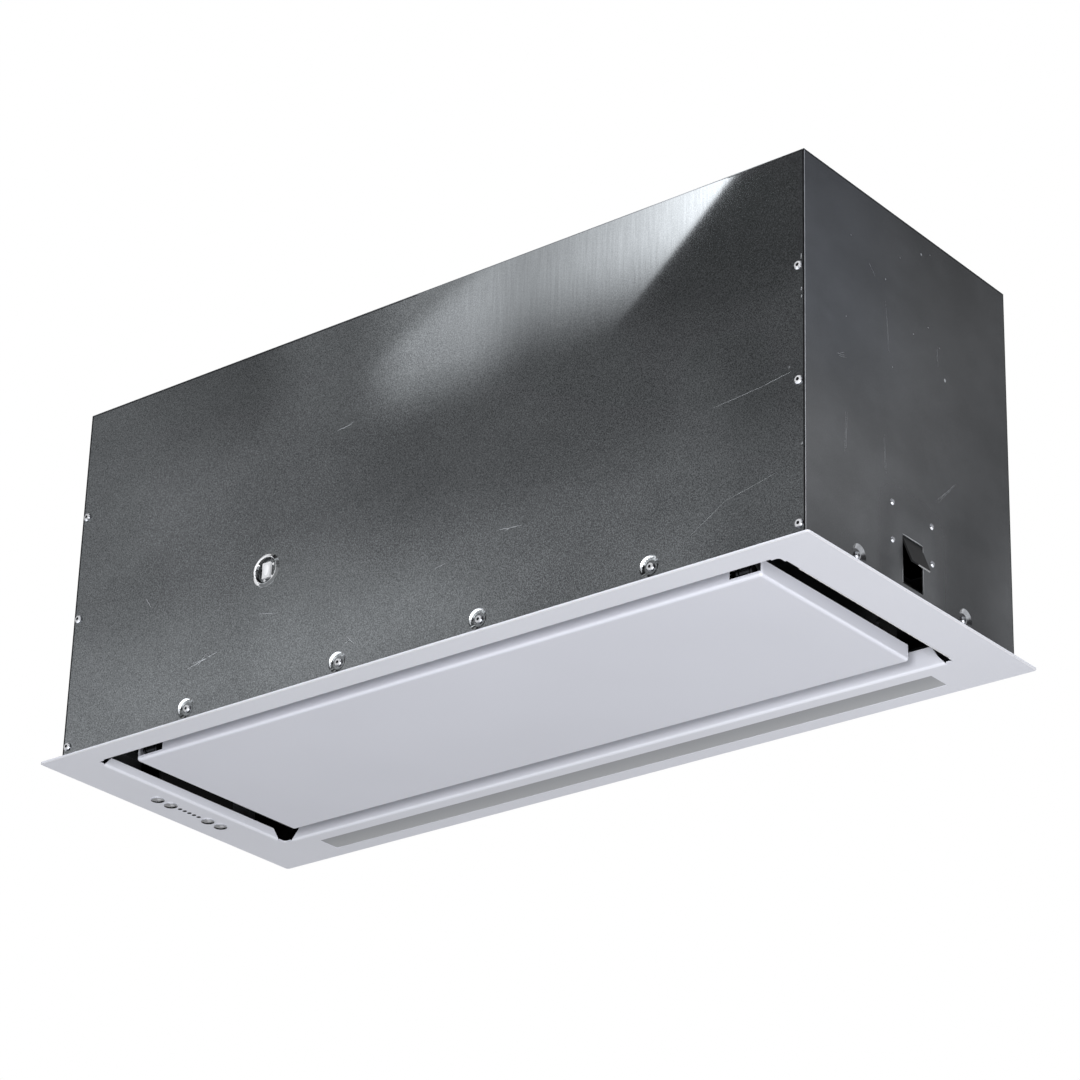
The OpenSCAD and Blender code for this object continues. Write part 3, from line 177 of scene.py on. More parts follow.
def galvanised(name, dark, light, grain, sheen, blotch, worn=False, slotted=False):
    """Zinc-coated sheet: fine spangle, soft blotches and rubbed places."""
    m = Mat(name, metallic=1.0, rough=0.4)
    fine = m.noise(1120, 1.0, 0.7, (1, 1, 0.8))
    mid = m.noise(820, 2.0, 0.65, (1, 1, 0.8))
    cell = m.cells(900)
    big = m.noise(7, 4.0, 0.6, (1, 1, 1.6))
    rub = m.noise(22, 5.0, 0.7, (0.5, 1, 1))
    value = m.add(
        m.mul(m.curve(fine, 0.33, 0.67), 0.55 * grain),
        m.mul(m.curve(mid, 0.3, 0.7), 0.25 * grain),
        m.mul(cell, 0.2 * grain),
        m.mul(m.curve(big, 0.3, 0.7), blotch),
        m.mul(m.curve(rub, 0.52, 0.8), 0.5 * blotch),
    )
    value = m.math("DIVIDE", value, grain + 1.5 * blotch, clamp=True)
    if worn:
        # Calmed and streaked grain under the bright reflection: painted to suit the highlight, not
        # wear
        slant = m.add(m.mul(m.axis("X"), CALM_NORMAL[0]), m.mul(m.axis("Z"), CALM_NORMAL[1]))
        calm = m.mul(m.curve(m.axis("Z"), *CALM_Z, 0.0, 0.8), m.curve(m.axis("X"), *CALM_X),
                     m.curve(slant, *CALM_EDGE))
        value = m.add(value, m.mul(m.math("SUBTRACT", 0.5, value), calm))
        streak = m.math("SUBTRACT", m.noise(520, 2.0, 0.5, (1, 1, 0.05)), 0.5)
        value = m.add(value, m.mul(streak, calm, 0.32))
    m.color(m.mix(value, dark, light))
    rough = m.add(m.mul(mid, 0.03), sheen)
    if slotted:
        y = m.math("ABSOLUTE", m.axis("Y"))
        z = m.math("ABSOLUTE", m.math("SUBTRACT", m.axis("Z"), SLOT_Z))
        dull = m.mul(m.curve(y, *SLOT_Y_REACH), m.curve(z, *SLOT_Z_REACH),
                     m.curve(m.axis("X"), 0.2, -0.2))
        rough = m.add(rough, m.mul(dull, 0.42))
    m.rough(rough)
    m.bump(fine, 0.006 * grain, 0.0002)
    return m.m


def painted(name, color, rough=0.42):
    """Powder-coated sheet: faint orange peel and the slightest unevenness of tone."""
    m = Mat(name, rough=rough, Coat_Weight=0.12, Coat_Roughness=0.25)
    big = m.noise(4, 2.0)
    peel = m.noise(650, 2.0, 0.5)
    other = tuple(v * 0.965 for v in color)
    m.color(m.mix(m.curve(big, 0.3, 0.7), color, other))
    m.rough(m.add(m.mul(peel, 0.08), rough - 0.04))
    m.bump(peel, 0.045, 0.0004)
    return m.m


def metal(name, color, rough, scratch=0.0, stretch=(1, 1, 1), scale=300):
    """Plain metal, a little cloudy, and drawn out along one axis where stretch says so."""
    m = Mat(name, metallic=1.0, rough=rough)
    n = m.noise(scale, 4.0, 0.65, stretch)
    dark = tuple(v * 0.78 for v in color)
    m.color(m.mix(m.curve(n, 0.3, 0.7), dark, color))
    m.rough(m.add(m.mul(n, 0.16), rough - 0.08))
    m.bump(n, 0.08 + scratch, 0.0003)
    return m.m


# Where the diffuser goes from its darker colour by the near edge of its window to its paler one by
# the far edge, along Y: painted shade and light
DIFFUSER_SHADE_Y = (-0.131, -0.156)


def plastic(name, color, rough, grain=500, bump=0.1, mottle=0.85, lit_tone=None, **sockets):
    """Moulded or soft surface with a fine grain and a slight mottle."""
    m = Mat(name, rough=rough, **sockets)
    n = m.noise(grain, 3.0, 0.6)
    big = m.noise(12, 3.0)
    tone = m.mix(m.curve(big, 0.3, 0.7), color, tuple(v * mottle for v in color))
    # Painted shade and light across the part, along Y: its own colour by one edge, paler by the
    # other
    if lit_tone:
        tone = m.mix(m.curve(m.axis("Y"), *DIFFUSER_SHADE_Y), tone, lit_tone)
    m.color(tone)
    m.rough(m.add(m.mul(n, 0.12), rough - 0.06))
    m.bump(n, bump, 0.0003)
    return m.m


def board(name, color, trace):
    """Circuit board: fine tracks under the lacquer."""
    m = Mat(name, rough=0.32, Coat_Weight=0.3)
    c = m.cells(260, "Distance", (1, 0.35, 1))
    n = m.noise(90, 2.0)
    m.color(m.mix(m.curve(c, 0.45, 0.5), color, trace))
    m.rough(m.add(m.mul(n, 0.1), 0.28))
    m.bump(c, 0.08, 0.0003)
    return m.m


COVER = galvanised("cover_steel", lin(42, 43, 44), lin(137, 139, 140), 1.8, 0.045, 0.22, True)
END = galvanised("end_steel", lin(78, 79, 80), lin(108, 109, 111), 0.45, 0.19, 0.45, slotted=True)
BRACKET = galvanised("bracket_steel", lin(96, 97, 99), lin(140, 141, 144), 0.7, 0.34, 0.4)
SCROLL = galvanised("scroll_steel", lin(90, 92, 94), lin(135, 137, 140), 0.8, 0.32, 0.4)
# The carrier is galvanised steel drawn nearly black: painted shade, so the gap around the panel
# reads dark
CARRIER_SHADE = galvanised("carrier_steel_painted_shade", lin(22, 23, 24), lin(36, 37, 38), 0.7, 0.5, 0.4)
WHITE = painted("white_powder_coat", lin(219, 221, 230))
PANEL = painted("panel_powder_coat", lin(214, 216, 226), 0.46)
ZINC = metal("zinc_plate", lin(172, 173, 177), 0.2)
PHOSPHATE = metal("phosphate_steel", lin(40, 41, 43), 0.5)
CHROME = metal("polished_chrome", lin(206, 207, 211), 0.10, 0.0, scale=120)
ALU = metal("anodised_aluminium", lin(186, 188, 190), 0.34, 0.03, (1, 12, 1), 240)
MESH = metal("expanded_aluminium", lin(176, 178, 181), 0.30)
BLACK = plastic("black_moulding", lin(15, 15, 16), 0.55)
CATCH = plastic("catch_moulding", lin(17, 17, 18), 0.6, 260, 0.15, Specular_IOR_Level=0.2)
IVORY = plastic("ivory_moulding", lin(206, 203, 194), 0.42, 600, 0.06, 0.94)
DIFFUSER = plastic(
    "frosted_diffuser", lin(149, 151, 156), 0.36, 800, 0.05, 0.97, lin(166, 168, 172),
    Coat_Weight=0.15
)
LENS = plastic("smoked_lens", lin(9, 9, 11), 0.7, 400, 0.02, Specular_IOR_Level=0.08)
GREEN = board("green_board", lin(38, 92, 58), lin(66, 126, 80))
PALE = board("white_board", lin(226, 226, 220), lin(206, 206, 196))
WINDING = metal("copper_winding", lin(176, 104, 62), 0.36, 0.2, (60, 1, 1), 60)
BRONZE = metal("sintered_bronze", lin(186, 150, 92), 0.42)
RUBBER = plastic("rubber_bush", lin(30, 30, 31), 0.7, 900, 0.2)
CLIP = plastic("white_clip", lin(222, 223, 226), 0.4, 300, 0.2, 0.85)

FINISH = {
    COVER: "back_cover front_cover",
    END: "end_panel_left end_panel_right top_panel",
    CARRIER_SHADE: "carrier_strips carrier_ends",
    BRACKET: "long_rails end_brackets filter_brackets "
    "electronics_box electronics_lid catch_brackets motor_spider",
    SCROLL: "scroll_wrap scroll_plates",
    WHITE: "trim_frame",
    PANEL: "suction_panel",
    PHOSPHATE: "hinge_arms panel_ears hinge_pins",
    ZINC: "sheet_screws end_rivets strike_posts flap_pin catch_pins motor_shaft "
    "latch_left latch_right",
    CLIP: "ring_clip",
    CHROME: "button_bezels button_1 button_2 button_3 button_4",
    ALU: "filter_frames led_channel motor_can motor_cap motor_capacitor",
    MESH: "filter_meshes",
    BLACK: "control_housing cable_gland magnet_catches impeller_disc impeller_cage",
    CATCH: "catch_left catch_right",
    IVORY: "outlet_collar flap_back flap_front led_driver",
    DIFFUSER: "led_diffuser",
    LENS: "indicator_lenses",
    GREEN: "control_board power_board",
    PALE: "led_board",
    WINDING: "stator",
    BRONZE: "motor_bearings",
    RUBBER: "motor_bushes",
}
# Widths of the rounded edges, in metres
PLAIN_BEVEL = 0.00025
BEVEL = {
    "trim_frame": 0.0005, "suction_panel": 0.0004, "back_cover": 0.0002, "front_cover": 0.0002,
    "end_panel_left": 0.0002, "end_panel_right": 0.0002, "top_panel": 0.0003,
    "outlet_collar": 0.0006, "led_diffuser": 0.0003, "end_rivets": 0.0003,
    "button_bezels": 0.00028, "catch_left": 0.0003, "catch_right": 0.0003, "ring_clip": 0.0004,
}


def smooth(obj, width):
    """Rounds sharp edges a little and shades the rest smooth."""
    b = obj.modifiers.new("edges", "BEVEL")
    b.width = width
    b.segments = 2
    b.limit_method = "ANGLE"
    b.angle_limit = math.radians(35)
    b.harden_normals = False
    b.use_clamp_overlap = True
    me = obj.data
    me.polygons.foreach_set("use_smooth", [True] * len(me.polygons))
    bm = bmesh.new()
    bm.from_mesh(me)
    flags = []
    for e in bm.edges:
        sharp = len(e.link_faces) != 2 or e.calc_face_angle(3.2) > math.radians(32)
        flags.append(sharp)
    bm.free()
    sharp_edge = (me.attributes.get("sharp_edge")
                  or me.attributes.new("sharp_edge", "BOOLEAN", "EDGE"))
    sharp_edge.data.foreach_set("value", flags)


for material, names in FINISH.items():
    for n in names.split():
        o = nodes[n]
        o.data.materials.clear()
        o.data.materials.append(material)
        smooth(o, BEVEL.get(n, PLAIN_BEVEL))
assert sum(len(v.split()) for v in FINISH.values()) == len(nodes)

# Added pieces


def mesh_piece(name, verts, faces, material, body, shade=True):
    """A piece from its vertices in metres, with its one material, riding on a body."""
    me = bpy.data.meshes.new(name)
    me.from_pydata(verts, [], faces)
    me.update()
    o = bpy.data.objects.new(name, me)
    bpy.context.scene.collection.objects.link(o)
    me.materials.append(material)
    me.polygons.foreach_set("use_smooth", [shade] * len(me.polygons))
    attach(o, body)
    return o


def ladder(n):
    """Faces of a strip of n steps, whose vertices come in pairs."""
    return [(2 * i, 2 * i + 1, 2 * i + 3, 2 * i + 2) for i in range(n)]


def grid(steps, across, flip=False):
    """Faces of a grid, whose vertices come row by row."""
    faces = []
    for i in range(steps):
        for j in range(across):
            k = i * (across + 1) + j
            quad = (k, k + across + 1, k + across + 2, k + 1)
            faces.append((quad[0], quad[3], quad[2], quad[1]) if flip else quad)
    return faces


# How far a mark lies off the sheet, so that the two don't flicker
LIFT = 0.00004


def scratch(name, pts, width, material, plane="back"):
    """A fine mark on the back cover (x, z) or on the -X end panel (y, z), in millimetres."""
    verts = []
    n = len(pts)
    for i, (a, z) in enumerate(pts):
        p, q = pts[max(i - 1, 0)], pts[min(i + 1, n - 1)]
        d = Vector((q[0] - p[0], q[1] - p[1])).normalized()
        w = width * (0.15 + 0.85 * math.sin(math.pi * (i + 0.35) / (n - 0.3))) / 2
        for s in (-1, 1):
            u, v = a - s * d[1] * w, z + s * d[0] * w
            if plane == "back":
                verts.append((u / 1000, FACE_Y + LIFT, v / 1000))
            else:
                verts.append((-FACE_X - LIFT, u / 1000, v / 1000))
    return mesh_piece(name, verts, ladder(n - 1), material, "housing")


RUBBED = metal("rubbed_zinc", lin(205, 207, 210), 0.36)
CUT = metal("bare_edge_zinc", lin(206, 207, 210), 0.46)
rng = random.Random(3)


def wander(a, b, steps, sway):
    """Points from a to b, swaying a little between them."""
    out = []
    for i in range(steps + 1):
        t = i / steps
        out.append((
            a[0] + (b[0] - a[0]) * t + rng.uniform(-sway, sway) * (0 < i < steps),
            a[1] + (b[1] - a[1]) * t + rng.uniform(-sway, sway) * (0 < i < steps),
        ))
    return out


# Scratches on the back cover: from (x, z), to (x, z), width, in millimetres
MARKS = [
    ((268, 62), (231, 70), 0.5), ((262, 66), (238, 67.5), 0.35), ((256, 61), (245, 71), 0.3),
    ((96, 257), (78, 258.8), 0.5), ((84, 258), (76, 261), 0.35),
    ((70, 44), (62, 36), 0.4), ((74, 38), (66, 41), 0.3),
    ((-100, 102), (-127, 99.4), 0.45), ((-108, 99), (-116, 101), 0.3),
    ((-331, 151.3), (-385, 156.5), 0.35), ((-376, 155.3), (-412, 161.2), 0.45),
    ((-309, 39.4), (-350, 63.7), 0.28), ((-346, 61.5), (-397, 72.5), 0.28),
    ((-408.6, 165.0), (-410.2, 166.4), 1.6),
    ((-30, 84), (-42, 86), 0.25), ((182, 96), (160, 90), 0.25), ((330, 150), (322, 139), 0.25),
]
for i, (a, b, w) in enumerate(MARKS):
    scratch(f"scratch_{i}", wander(a, b, 7, 0.35), w, RUBBED)

# Chips on the end panel: y, z, width, in millimetres
SPECKS = [
    (-21.8, 350.0, 2.2), (-36, 355.9, 0.8), (35.1, 299.3, 1.1), (-30.7, 280.9, 1.0),
    (-7.1, 264.1, 0.9), (-55.8, 239.4, 3.0), (26.4, 217.2, 0.7), (87.5, 318.7, 0.6),
    (96, 236, 0.6), (12, 331, 0.6), (-48, 268, 0.7),
]
for i, (y, z, w) in enumerate(SPECKS):
    scratch(f"speck_{i}", wander((y - 0.5, z - w / 2), (y + 0.4, z + w / 2), 4, 0.12), w, RUBBED,
            "end")

# Scuffs on the end panel: from (y, z), to (y, z), number of hairlines in each
SCUFFS = [
    ((97.3, 142), (98.3, 108), 3), ((39.4, 146), (37.8, 112), 2), ((35.7, 276), (33, 228), 2),
    ((-40, 116), (-70, 143), 3), ((110, 195), (97, 198), 3), ((-43, 270), (-45, 250), 2),
    ((58, 305), (52, 296), 2),
]
for i, (a, b, n) in enumerate(SCUFFS):
    for j in range(n):
        o = [rng.uniform(-2.5, 2.5) for _ in range(4)]
        line = wander((a[0] + o[0], a[1] + o[1]), (b[0] + o[2], b[1] + o[3]), 6, 0.4)
        scratch(f"scuff_{i}_{j}", line, 0.13, RUBBED, "end")

# Rims of the slot, where the cut sheet is bare, and the worn outer edge of each catch
for i, (pts, w) in enumerate([
    ([(15.2, 64.0), (8, 64.1), (0, 64.0), (-8, 64.1), (-15.6, 63.9)], 1.0),
    ([(-15.8, 63), (-15.7, 52), (-15.8, 40), (-15.7, 30), (-15.8, 19)], 0.7),
    ([(15.7, 36), (15.7, 30), (15.8, 24), (15.7, 19)], 0.7),
]):
    scratch(f"slot_rim_{i}", pts, w, RUBBED, "end")
WORN = plastic("worn_edge", lin(150, 151, 153), 0.5)
# The worn edge in metres: its outer and inner lines (x, z), where it starts in y, and its length
WORN_OUT, WORN_IN = (0.4336, 0.03764), (0.4323, 0.03713)
WORN_START, WORN_L = 0.0035, 0.0174
for sx, name in ((-1, "catch_left"), (1, "catch_right")):
    verts = []
    for i in range(25):
        y = WORN_START - WORN_L * i / 24
        d = 0.0001 * math.sin(i * 1.3)
        verts += [(sx * WORN_OUT[0], y, WORN_OUT[1]), (sx * (WORN_IN[0] + d), y, WORN_IN[1])]
    mesh_piece(f"{name}_worn", verts, ladder(24), WORN, name)

# Nicks in the upright edge at the photographed corner: height and length, in millimetres
NICKS = [(267, 5.0), (236, 3.2), (229, 2.6), (92, 2.2)]
for i, (z, n) in enumerate(NICKS):
    scratch(f"edge_mark_{i}", wander((-421.6, z - n / 2), (-422.2, z + n / 2), 5, 0.2), 1.1, RUBBED)

# Cut edges of the long covers at the corners: bare and bright at the back, a painted dark line at
# the front, each with a fine painted shadow line beside it
# Two blacks for painted shade: the first keeps a faint reflection, the second mirrors nothing
SOFT_SHADE = plastic("painted_line_shadow", lin(13, 13, 15), 0.7, Specular_IOR_Level=0.1)
SHADE = plastic("deep_shade", lin(7, 7, 8), 1.0, Specular_IOR_Level=0.0)
foot_z, head_z = (v.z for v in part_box("back_cover"))


def upright(name, x0, x1, y0, y1, material):
    """A narrow upright strip, a little wavy where it has depth, from the trim to the top."""
    verts = []
    for i in range(41):
        z = foot_z + 0.0003 + (head_z - foot_z - 0.0006) * i / 40
        d = 0.00006 * math.sin(i * 1.7)
        verts += [(x0, y0 + d * (y1 != y0), z), (x1, y1, z)]
    return mesh_piece(name, verts, ladder(40), material, "housing")


# Just off the faces, for strips that lie on them
ON_X = FACE_X + 0.00003
ON_Y = FACE_Y + 0.00003
for sx, a in ((-1, "right"), (1, "left")):
    for sy, b in ((1, "back"), (-1, "front")):
        upright(f"edge_and_shadow_strip_{a}_{b}", sx * ON_X, sx * ON_X, sy * 0.1560, sy * 0.1569,
                CUT if sy > 0 else SOFT_SHADE)
        upright(f"shadow_line_{a}_{b}", sx * 0.4233, sx * 0.42495, sy * ON_Y, sy * ON_Y, SOFT_SHADE)


def top_shade(name, plane, a, b, tall):
    """A thin painted dark line under a top edge, standing in for the shade where the sheet is bent
    over.
    """
    verts = []
    for i in range(61):
        u = a + (b - a) * i / 60
        w = tall * (0.85 + 0.15 * math.sin(i * 2.3))
        for z in (head_z - 0.0001, head_z - 0.0001 - w):
            verts.append((u, ON_Y, z) if plane == "back" else (-ON_X, u, z))
    return mesh_piece(name, verts, ladder(60), SOFT_SHADE, "housing")


top_shade("top_shade_back_left", "back", 0.006, 0.4249, 0.00075)
top_shade("top_shade_back_right", "back", -0.4249, -0.345, 0.0006)
top_shade("top_shade_end", "end", -0.1549, 0.1549, 0.0007)

# Painted highlights: pale lines along three edges of the trim frame on its underside, where its
# edges and bend catch the light
EDGE_HIGHLIGHT = painted("painted_edge_glint", lin(247, 247, 251), 0.3)
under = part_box("trim_frame")[0].z - 0.00002


def edge_glint(name, a, b, width):
    """A painted pale highlight along an edge, from a to b in metres, its width to the left of it.
    """
    verts = []
    d = (Vector(b) - Vector(a)).normalized()
    for i in range(81):
        c = Vector(a).lerp(Vector(b), i / 80)
        w = width * (0.9 + 0.1 * math.sin(i * 1.9))
        verts += [(c.x, c.y, under), (c.x - d.y * w, c.y + d.x * w, under)]
    return mesh_piece(name, verts, ladder(80), EDGE_HIGHLIGHT, "housing")


edge_glint("edge_glint_end_outer", (-0.4380, 0.171), (-0.4380, -0.171), 0.0008)
edge_glint("edge_glint_back_outer", (0.437, 0.1720), (-0.437, 0.1720), 0.0008)
edge_glint("edge_glint_end_inner", (-0.3916, 0.118), (-0.3916, -0.108), 0.0009)

# The pressed ring and its clip: painted glints on the crest and outer slope, a painted flat tone
# over the lower outer slope in place of its reflection, the slot's painted shade and small lugs
RIM_GLINT = plastic("painted_rim_glint", lin(244, 245, 248), 0.35, 700, 0.05, 0.94, Metallic=0.15)
SLOPE_SHADE = plastic("painted_slope_shade", lin(86, 88, 90), 0.55, 800, 0.2, 0.8)
NYLON = plastic("white_nylon", lin(236, 237, 240), 0.35, 300, 0.25, 0.9)
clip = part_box("ring_clip")
ring_at = (175.1, (clip[0].z + clip[1].z) * 500)

# The pressed ring in millimetres: radii of its foot and crest, height, and the fall inside it
RING_FOOT_R, RING_CREST_R, RING_H = 16.5, 13.6, 2.0
RING_FALL, RING_FALL_W = 4.2, 2.2
# The dimples in millimetres: radius, width of the slope, depth, height, and places along the cover
DIMPLE_R, DIMPLE_SLOPE, DIMPLE_H, DIMPLE_Z = 10.0, 3.5, 2.5, 23
DIMPLE_SHARES = (-0.627, -0.1906, 0.1906, 0.627)


def ring_height(r):
    """Height of the pressed ring above the cover at a radius, in millimetres."""
    if r > RING_CREST_R:
        return RING_H * (RING_FOOT_R - r) / (RING_FOOT_R - RING_CREST_R)
    return RING_H - RING_FALL * min((RING_CREST_R - r) / RING_FALL_W, 1.0)


def dimple_height(r):
    """Height of a pressed dimple's slope over the cover at a radius, in millimetres."""
    return -DIMPLE_H * (DIMPLE_R - r) / DIMPLE_SLOPE


def ring_arc(name, start, end, r0, r1, material, lift, taper, at=ring_at, height=ring_height):
    """A painted strip on the pressed ring or a dimple, for a glint or a shade, narrowing towards
    both of its ends.
    """
    verts = []
    steps, across = 36, 4
    for i in range(steps + 1):
        t = i / steps
        a = math.radians(start + (end - start) * t)
        w = min(1.0, math.sin(math.pi * t) / taper + 0.02)
        mid = (r0 + r1) / 2 + 0.08 * math.sin(9 * t + start)
        for j in range(across + 1):
            r = mid + (r1 - r0) * w * (j / across - 0.5)
            verts.append(((at[0] + r * math.cos(a)) / 1000,
                          FACE_Y + (height(r) + lift) / 1000,
                          (at[1] + r * math.sin(a)) / 1000))
    return mesh_piece(name, verts, grid(steps, across), material, "housing")


# Painted glints where the ring's crest and upper slope catch the light, and a painted flat tone
# over its lower outer slope in place of what that slope mirrors
ring_arc("ring_slope_shade", -175, -62, 13.9, 16.3, SLOPE_SHADE, 0.05, 0.1)
ring_arc("ring_glint_wide", -6, 118, 13.5, 16.3, RIM_GLINT, 0.08, 0.9)
ring_arc("ring_glint_foot", -66, -14, 13.7, 16.2, RIM_GLINT, 0.08, 0.8)
ring_arc("ring_crest_glint_left", -80, 150, 12.9, 13.8, RIM_GLINT, 0.10, 0.3)
ring_arc("ring_crest_glint_right", 140, 262, 12.9, 13.9, RIM_GLINT, 0.10, 0.8)
# Painted glints: brighter metal on the upper slope of each dimple, where it catches the light
DIMPLE_GLINT = metal("painted_dimple_glint", lin(226, 228, 231), 0.42)
for i, share in enumerate(DIMPLE_SHARES):
    ring_arc(f"dimple_glint_{i}", -28, 118, 7.9, 9.85, DIMPLE_GLINT, 0.05, 0.8,
             (share * FACE_X * 1000, DIMPLE_Z), dimple_height)


def lump(name, x, z, y, rx, rz, h, material):
    """A low rounded lump on the back, in millimetres."""
    rings, sides = 5, 18
    verts, faces = [(x / 1000, (y + h) / 1000, z / 1000)], []
    for i in range(1, rings + 1):
        a = math.pi / 2 * i / rings
        for j in range(sides):
            b = 2 * math.pi * j / sides
            w = 1 + 0.06 * math.sin(3 * b)
            verts.append(((x + rx * w * math.sin(a) * math.cos(b)) / 1000,
                          (y + h * math.cos(a)) / 1000,
                          (z + rz * w * math.sin(a) * math.sin(b)) / 1000))
    for j in range(sides):
        faces.append((0, 1 + (j + 1) % sides, 1 + j))
        for i in range(rings - 1):
            k, n = 1 + i * sides, 1 + (i + 1) * sides
            faces.append((k + j, k + (j + 1) % sides, n + (j + 1) % sides, n + j))
    return mesh_piece(name, verts, faces, material, "housing")


def head_ring(name, centre, profile, material, wave, sides):
    """A ring on the head of a back screw: profile lists (radius, height) in millimetres."""
    n = Vector((0, 1, 0))
    e1 = n.orthogonal().normalized()
    e2 = n.cross(e1)
    verts, faces = [], []
    for j in range(sides):
        a = 2 * math.pi * j / sides
        d = e1 * math.cos(a) + e2 * math.sin(a)
        for r, h in profile:
            w = r * (1 + wave * 0.1 * math.sin(3 * a + centre[0] * 50))
            verts.append(tuple(Vector(centre) + (d * w + n * h) / 1000))
    m = len(profile)
    for j in range(sides):
        for i in range(m - 1):
            k, q = j * m + i, ((j + 1) % sides) * m + i
            faces.append((k, q, q + 1, k + 1))
    return mesh_piece(name, verts, faces, material, "housing")


# Painted on each back screw: a pale ring where its head's rim catches the light, and a dark disc of
# painted shade in its recess
SCREW_GLINT = plastic("painted_screw_glint", lin(200, 201, 204), 0.4)
HEAD = [(1.6, 2.24), (2.75, 2.24), (3.3, 1.84)]
BORE_SHADE = [(0.0, 0.9), (1.35, 0.9), (1.5, 2.23)]
# Six screws beside the cover's upright edges, then one in each dimple
screws = [(x, FACE_Y, z) for x in (-0.419, 0.419) for z in (0.02004, 0.1511, 0.2590)]
for share in DIMPLE_SHARES:
    screws.append((share * FACE_X, FACE_Y - DIMPLE_H / 1000, DIMPLE_Z / 1000))
for i, at in enumerate(screws):
    head_ring(f"screw_glint_{i}", at, HEAD, SCREW_GLINT, 0.1, 28)
    head_ring(f"screw_recess_shade_{i}", at, BORE_SHADE, SOFT_SHADE, 0.0, 12)


# Where the painted shade lies on a button and its ring, in degrees
SHADE_START, SHADE_END = -146, 44


def shade_arc(name, centre, r0, r1, height, body):
    """A painted shade on the far side of a button or its ring, widest in the middle, in
    millimetres, facing down.
    """
    verts = []
    steps, across = 30, 4
    for i in range(steps + 1):
        t = i / steps
        a = math.radians(SHADE_START + (SHADE_END - SHADE_START) * t)
        w = math.sin(math.pi * t) ** 0.4 + 0.02
        for j in range(across + 1):
            r = r1 - (r1 - r0) * w * (1 - j / across)
            verts.append((centre[0] + r * math.cos(a) / 1000, centre[1] + r * math.sin(a) / 1000,
                          height(r) / 1000))
    return mesh_piece(name, verts, grid(steps, across, True), SHADE, body)


def crown_height(r):
    """Height of a button's rounded crown at a radius, in millimetres, never below zero."""
    return max(1.1 * (r / 4.9) ** 2 - 0.035, 0)


def ring_face_height(r):
    """Height of the chromed ring's face, in millimetres, the same all over it."""
    return 1.055


for i in range(1, 5):
    lo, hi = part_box(f"button_{i}")
    at = ((lo.x + hi.x) / 2, (lo.y + hi.y) / 2)
    shade_arc(f"button_shade_{i}", at, -0.7, 4.88, crown_height, f"button_{i}")
    shade_arc(f"bezel_shade_{i}", at, 4.95, 6.45, ring_face_height, "housing")

# Round black windows over the five indicator lenses, a little domed; they mirror nothing, so their
# black is partly the dark lens and partly painted shade
LENS_R = (0.0023, 0.0020)
LENS_Z = (0.00193, 0.00196)
LENS_END = 0.0007
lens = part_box("indicator_lenses")
for i in range(5):
    y = lens[0].y + LENS_END + (lens[1].y - lens[0].y - 2 * LENS_END) * i / 4
    verts, faces = [((lens[0].x + lens[1].x) / 2, y, LENS_Z[0])], []
    for j in range(28):
        a = 2 * math.pi * j / 28
        verts.append((verts[0][0] + LENS_R[0] * math.cos(a), y + LENS_R[1] * math.sin(a),
                      LENS_Z[1]))
    for j in range(28):
        faces.append((0, 1 + (j + 1) % 28, 1 + j))
    mesh_piece(f"lens_window_shade_{i}", verts, faces, SHADE, "housing")

# The clip's boss and lugs, and the shade beside it
cx, cz = ring_at
lump("clip_boss", cx + 0.2, cz + 0.5, 157.3, 3.4, 5.6, 0.7, NYLON)
for i, (dx, dz) in enumerate([(-6.4, 5.6), (-5.6, -6.2), (3.4, -8.8)]):
    lump(f"clip_lug_{i}", cx + dx, cz + dz, 154.8, 1.25, 1.25, 1.1, NYLON)
lump("clip_slot_shade", cx + 8.3, cz - 0.5, 154.82, 1.1, 5.0, 0.05, SOFT_SHADE)

# The raised face of the diffuser, which nearly fills its window
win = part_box("led_diffuser")
x1, ya, yb = win[1].x - 0.0033, win[0].y + 0.0001, win[1].y - 0.0001
z_low, z_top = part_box("trim_frame")[0].z + 0.00015, win[0].z - 0.00002
LONG, WIDE = 48, 8
ROUND = 0.0002
row = WIDE + 1
verts = []
for i in range(LONG + 1):
    x = -x1 + 2 * x1 * i / LONG
    for j in range(row):
        t = j / WIDE
        edge_in = min(t, 1 - t)
        z = z_low + ROUND * max(0.0, 1 - edge_in * WIDE) + ROUND * (i in (0, LONG))
        verts.append((x, ya + (yb - ya) * t, z))
faces = grid(LONG, WIDE, True)
low_n = len(verts)
rim = [i * row for i in range(LONG + 1)] + [LONG * row + j for j in range(1, row)]
rim += [i * row + WIDE for i in range(LONG - 1, -1, -1)] + list(range(WIDE - 1, 0, -1))
for v in rim:
    verts.append((verts[v][0], verts[v][1], z_top))
for i in range(len(rim)):
    m = (i + 1) % len(rim)
    faces.append((rim[i], low_n + i, low_n + m, rim[m]))
faces.append(tuple(low_n + i for i in range(len(rim))))
mesh_piece("diffuser_face", verts, faces, DIFFUSER, "housing", False)

# Expanded metal in the filters: diamonds cut and drawn from one sheet, in metres
STRAND = 0.0009
STRAND_T = 0.0005


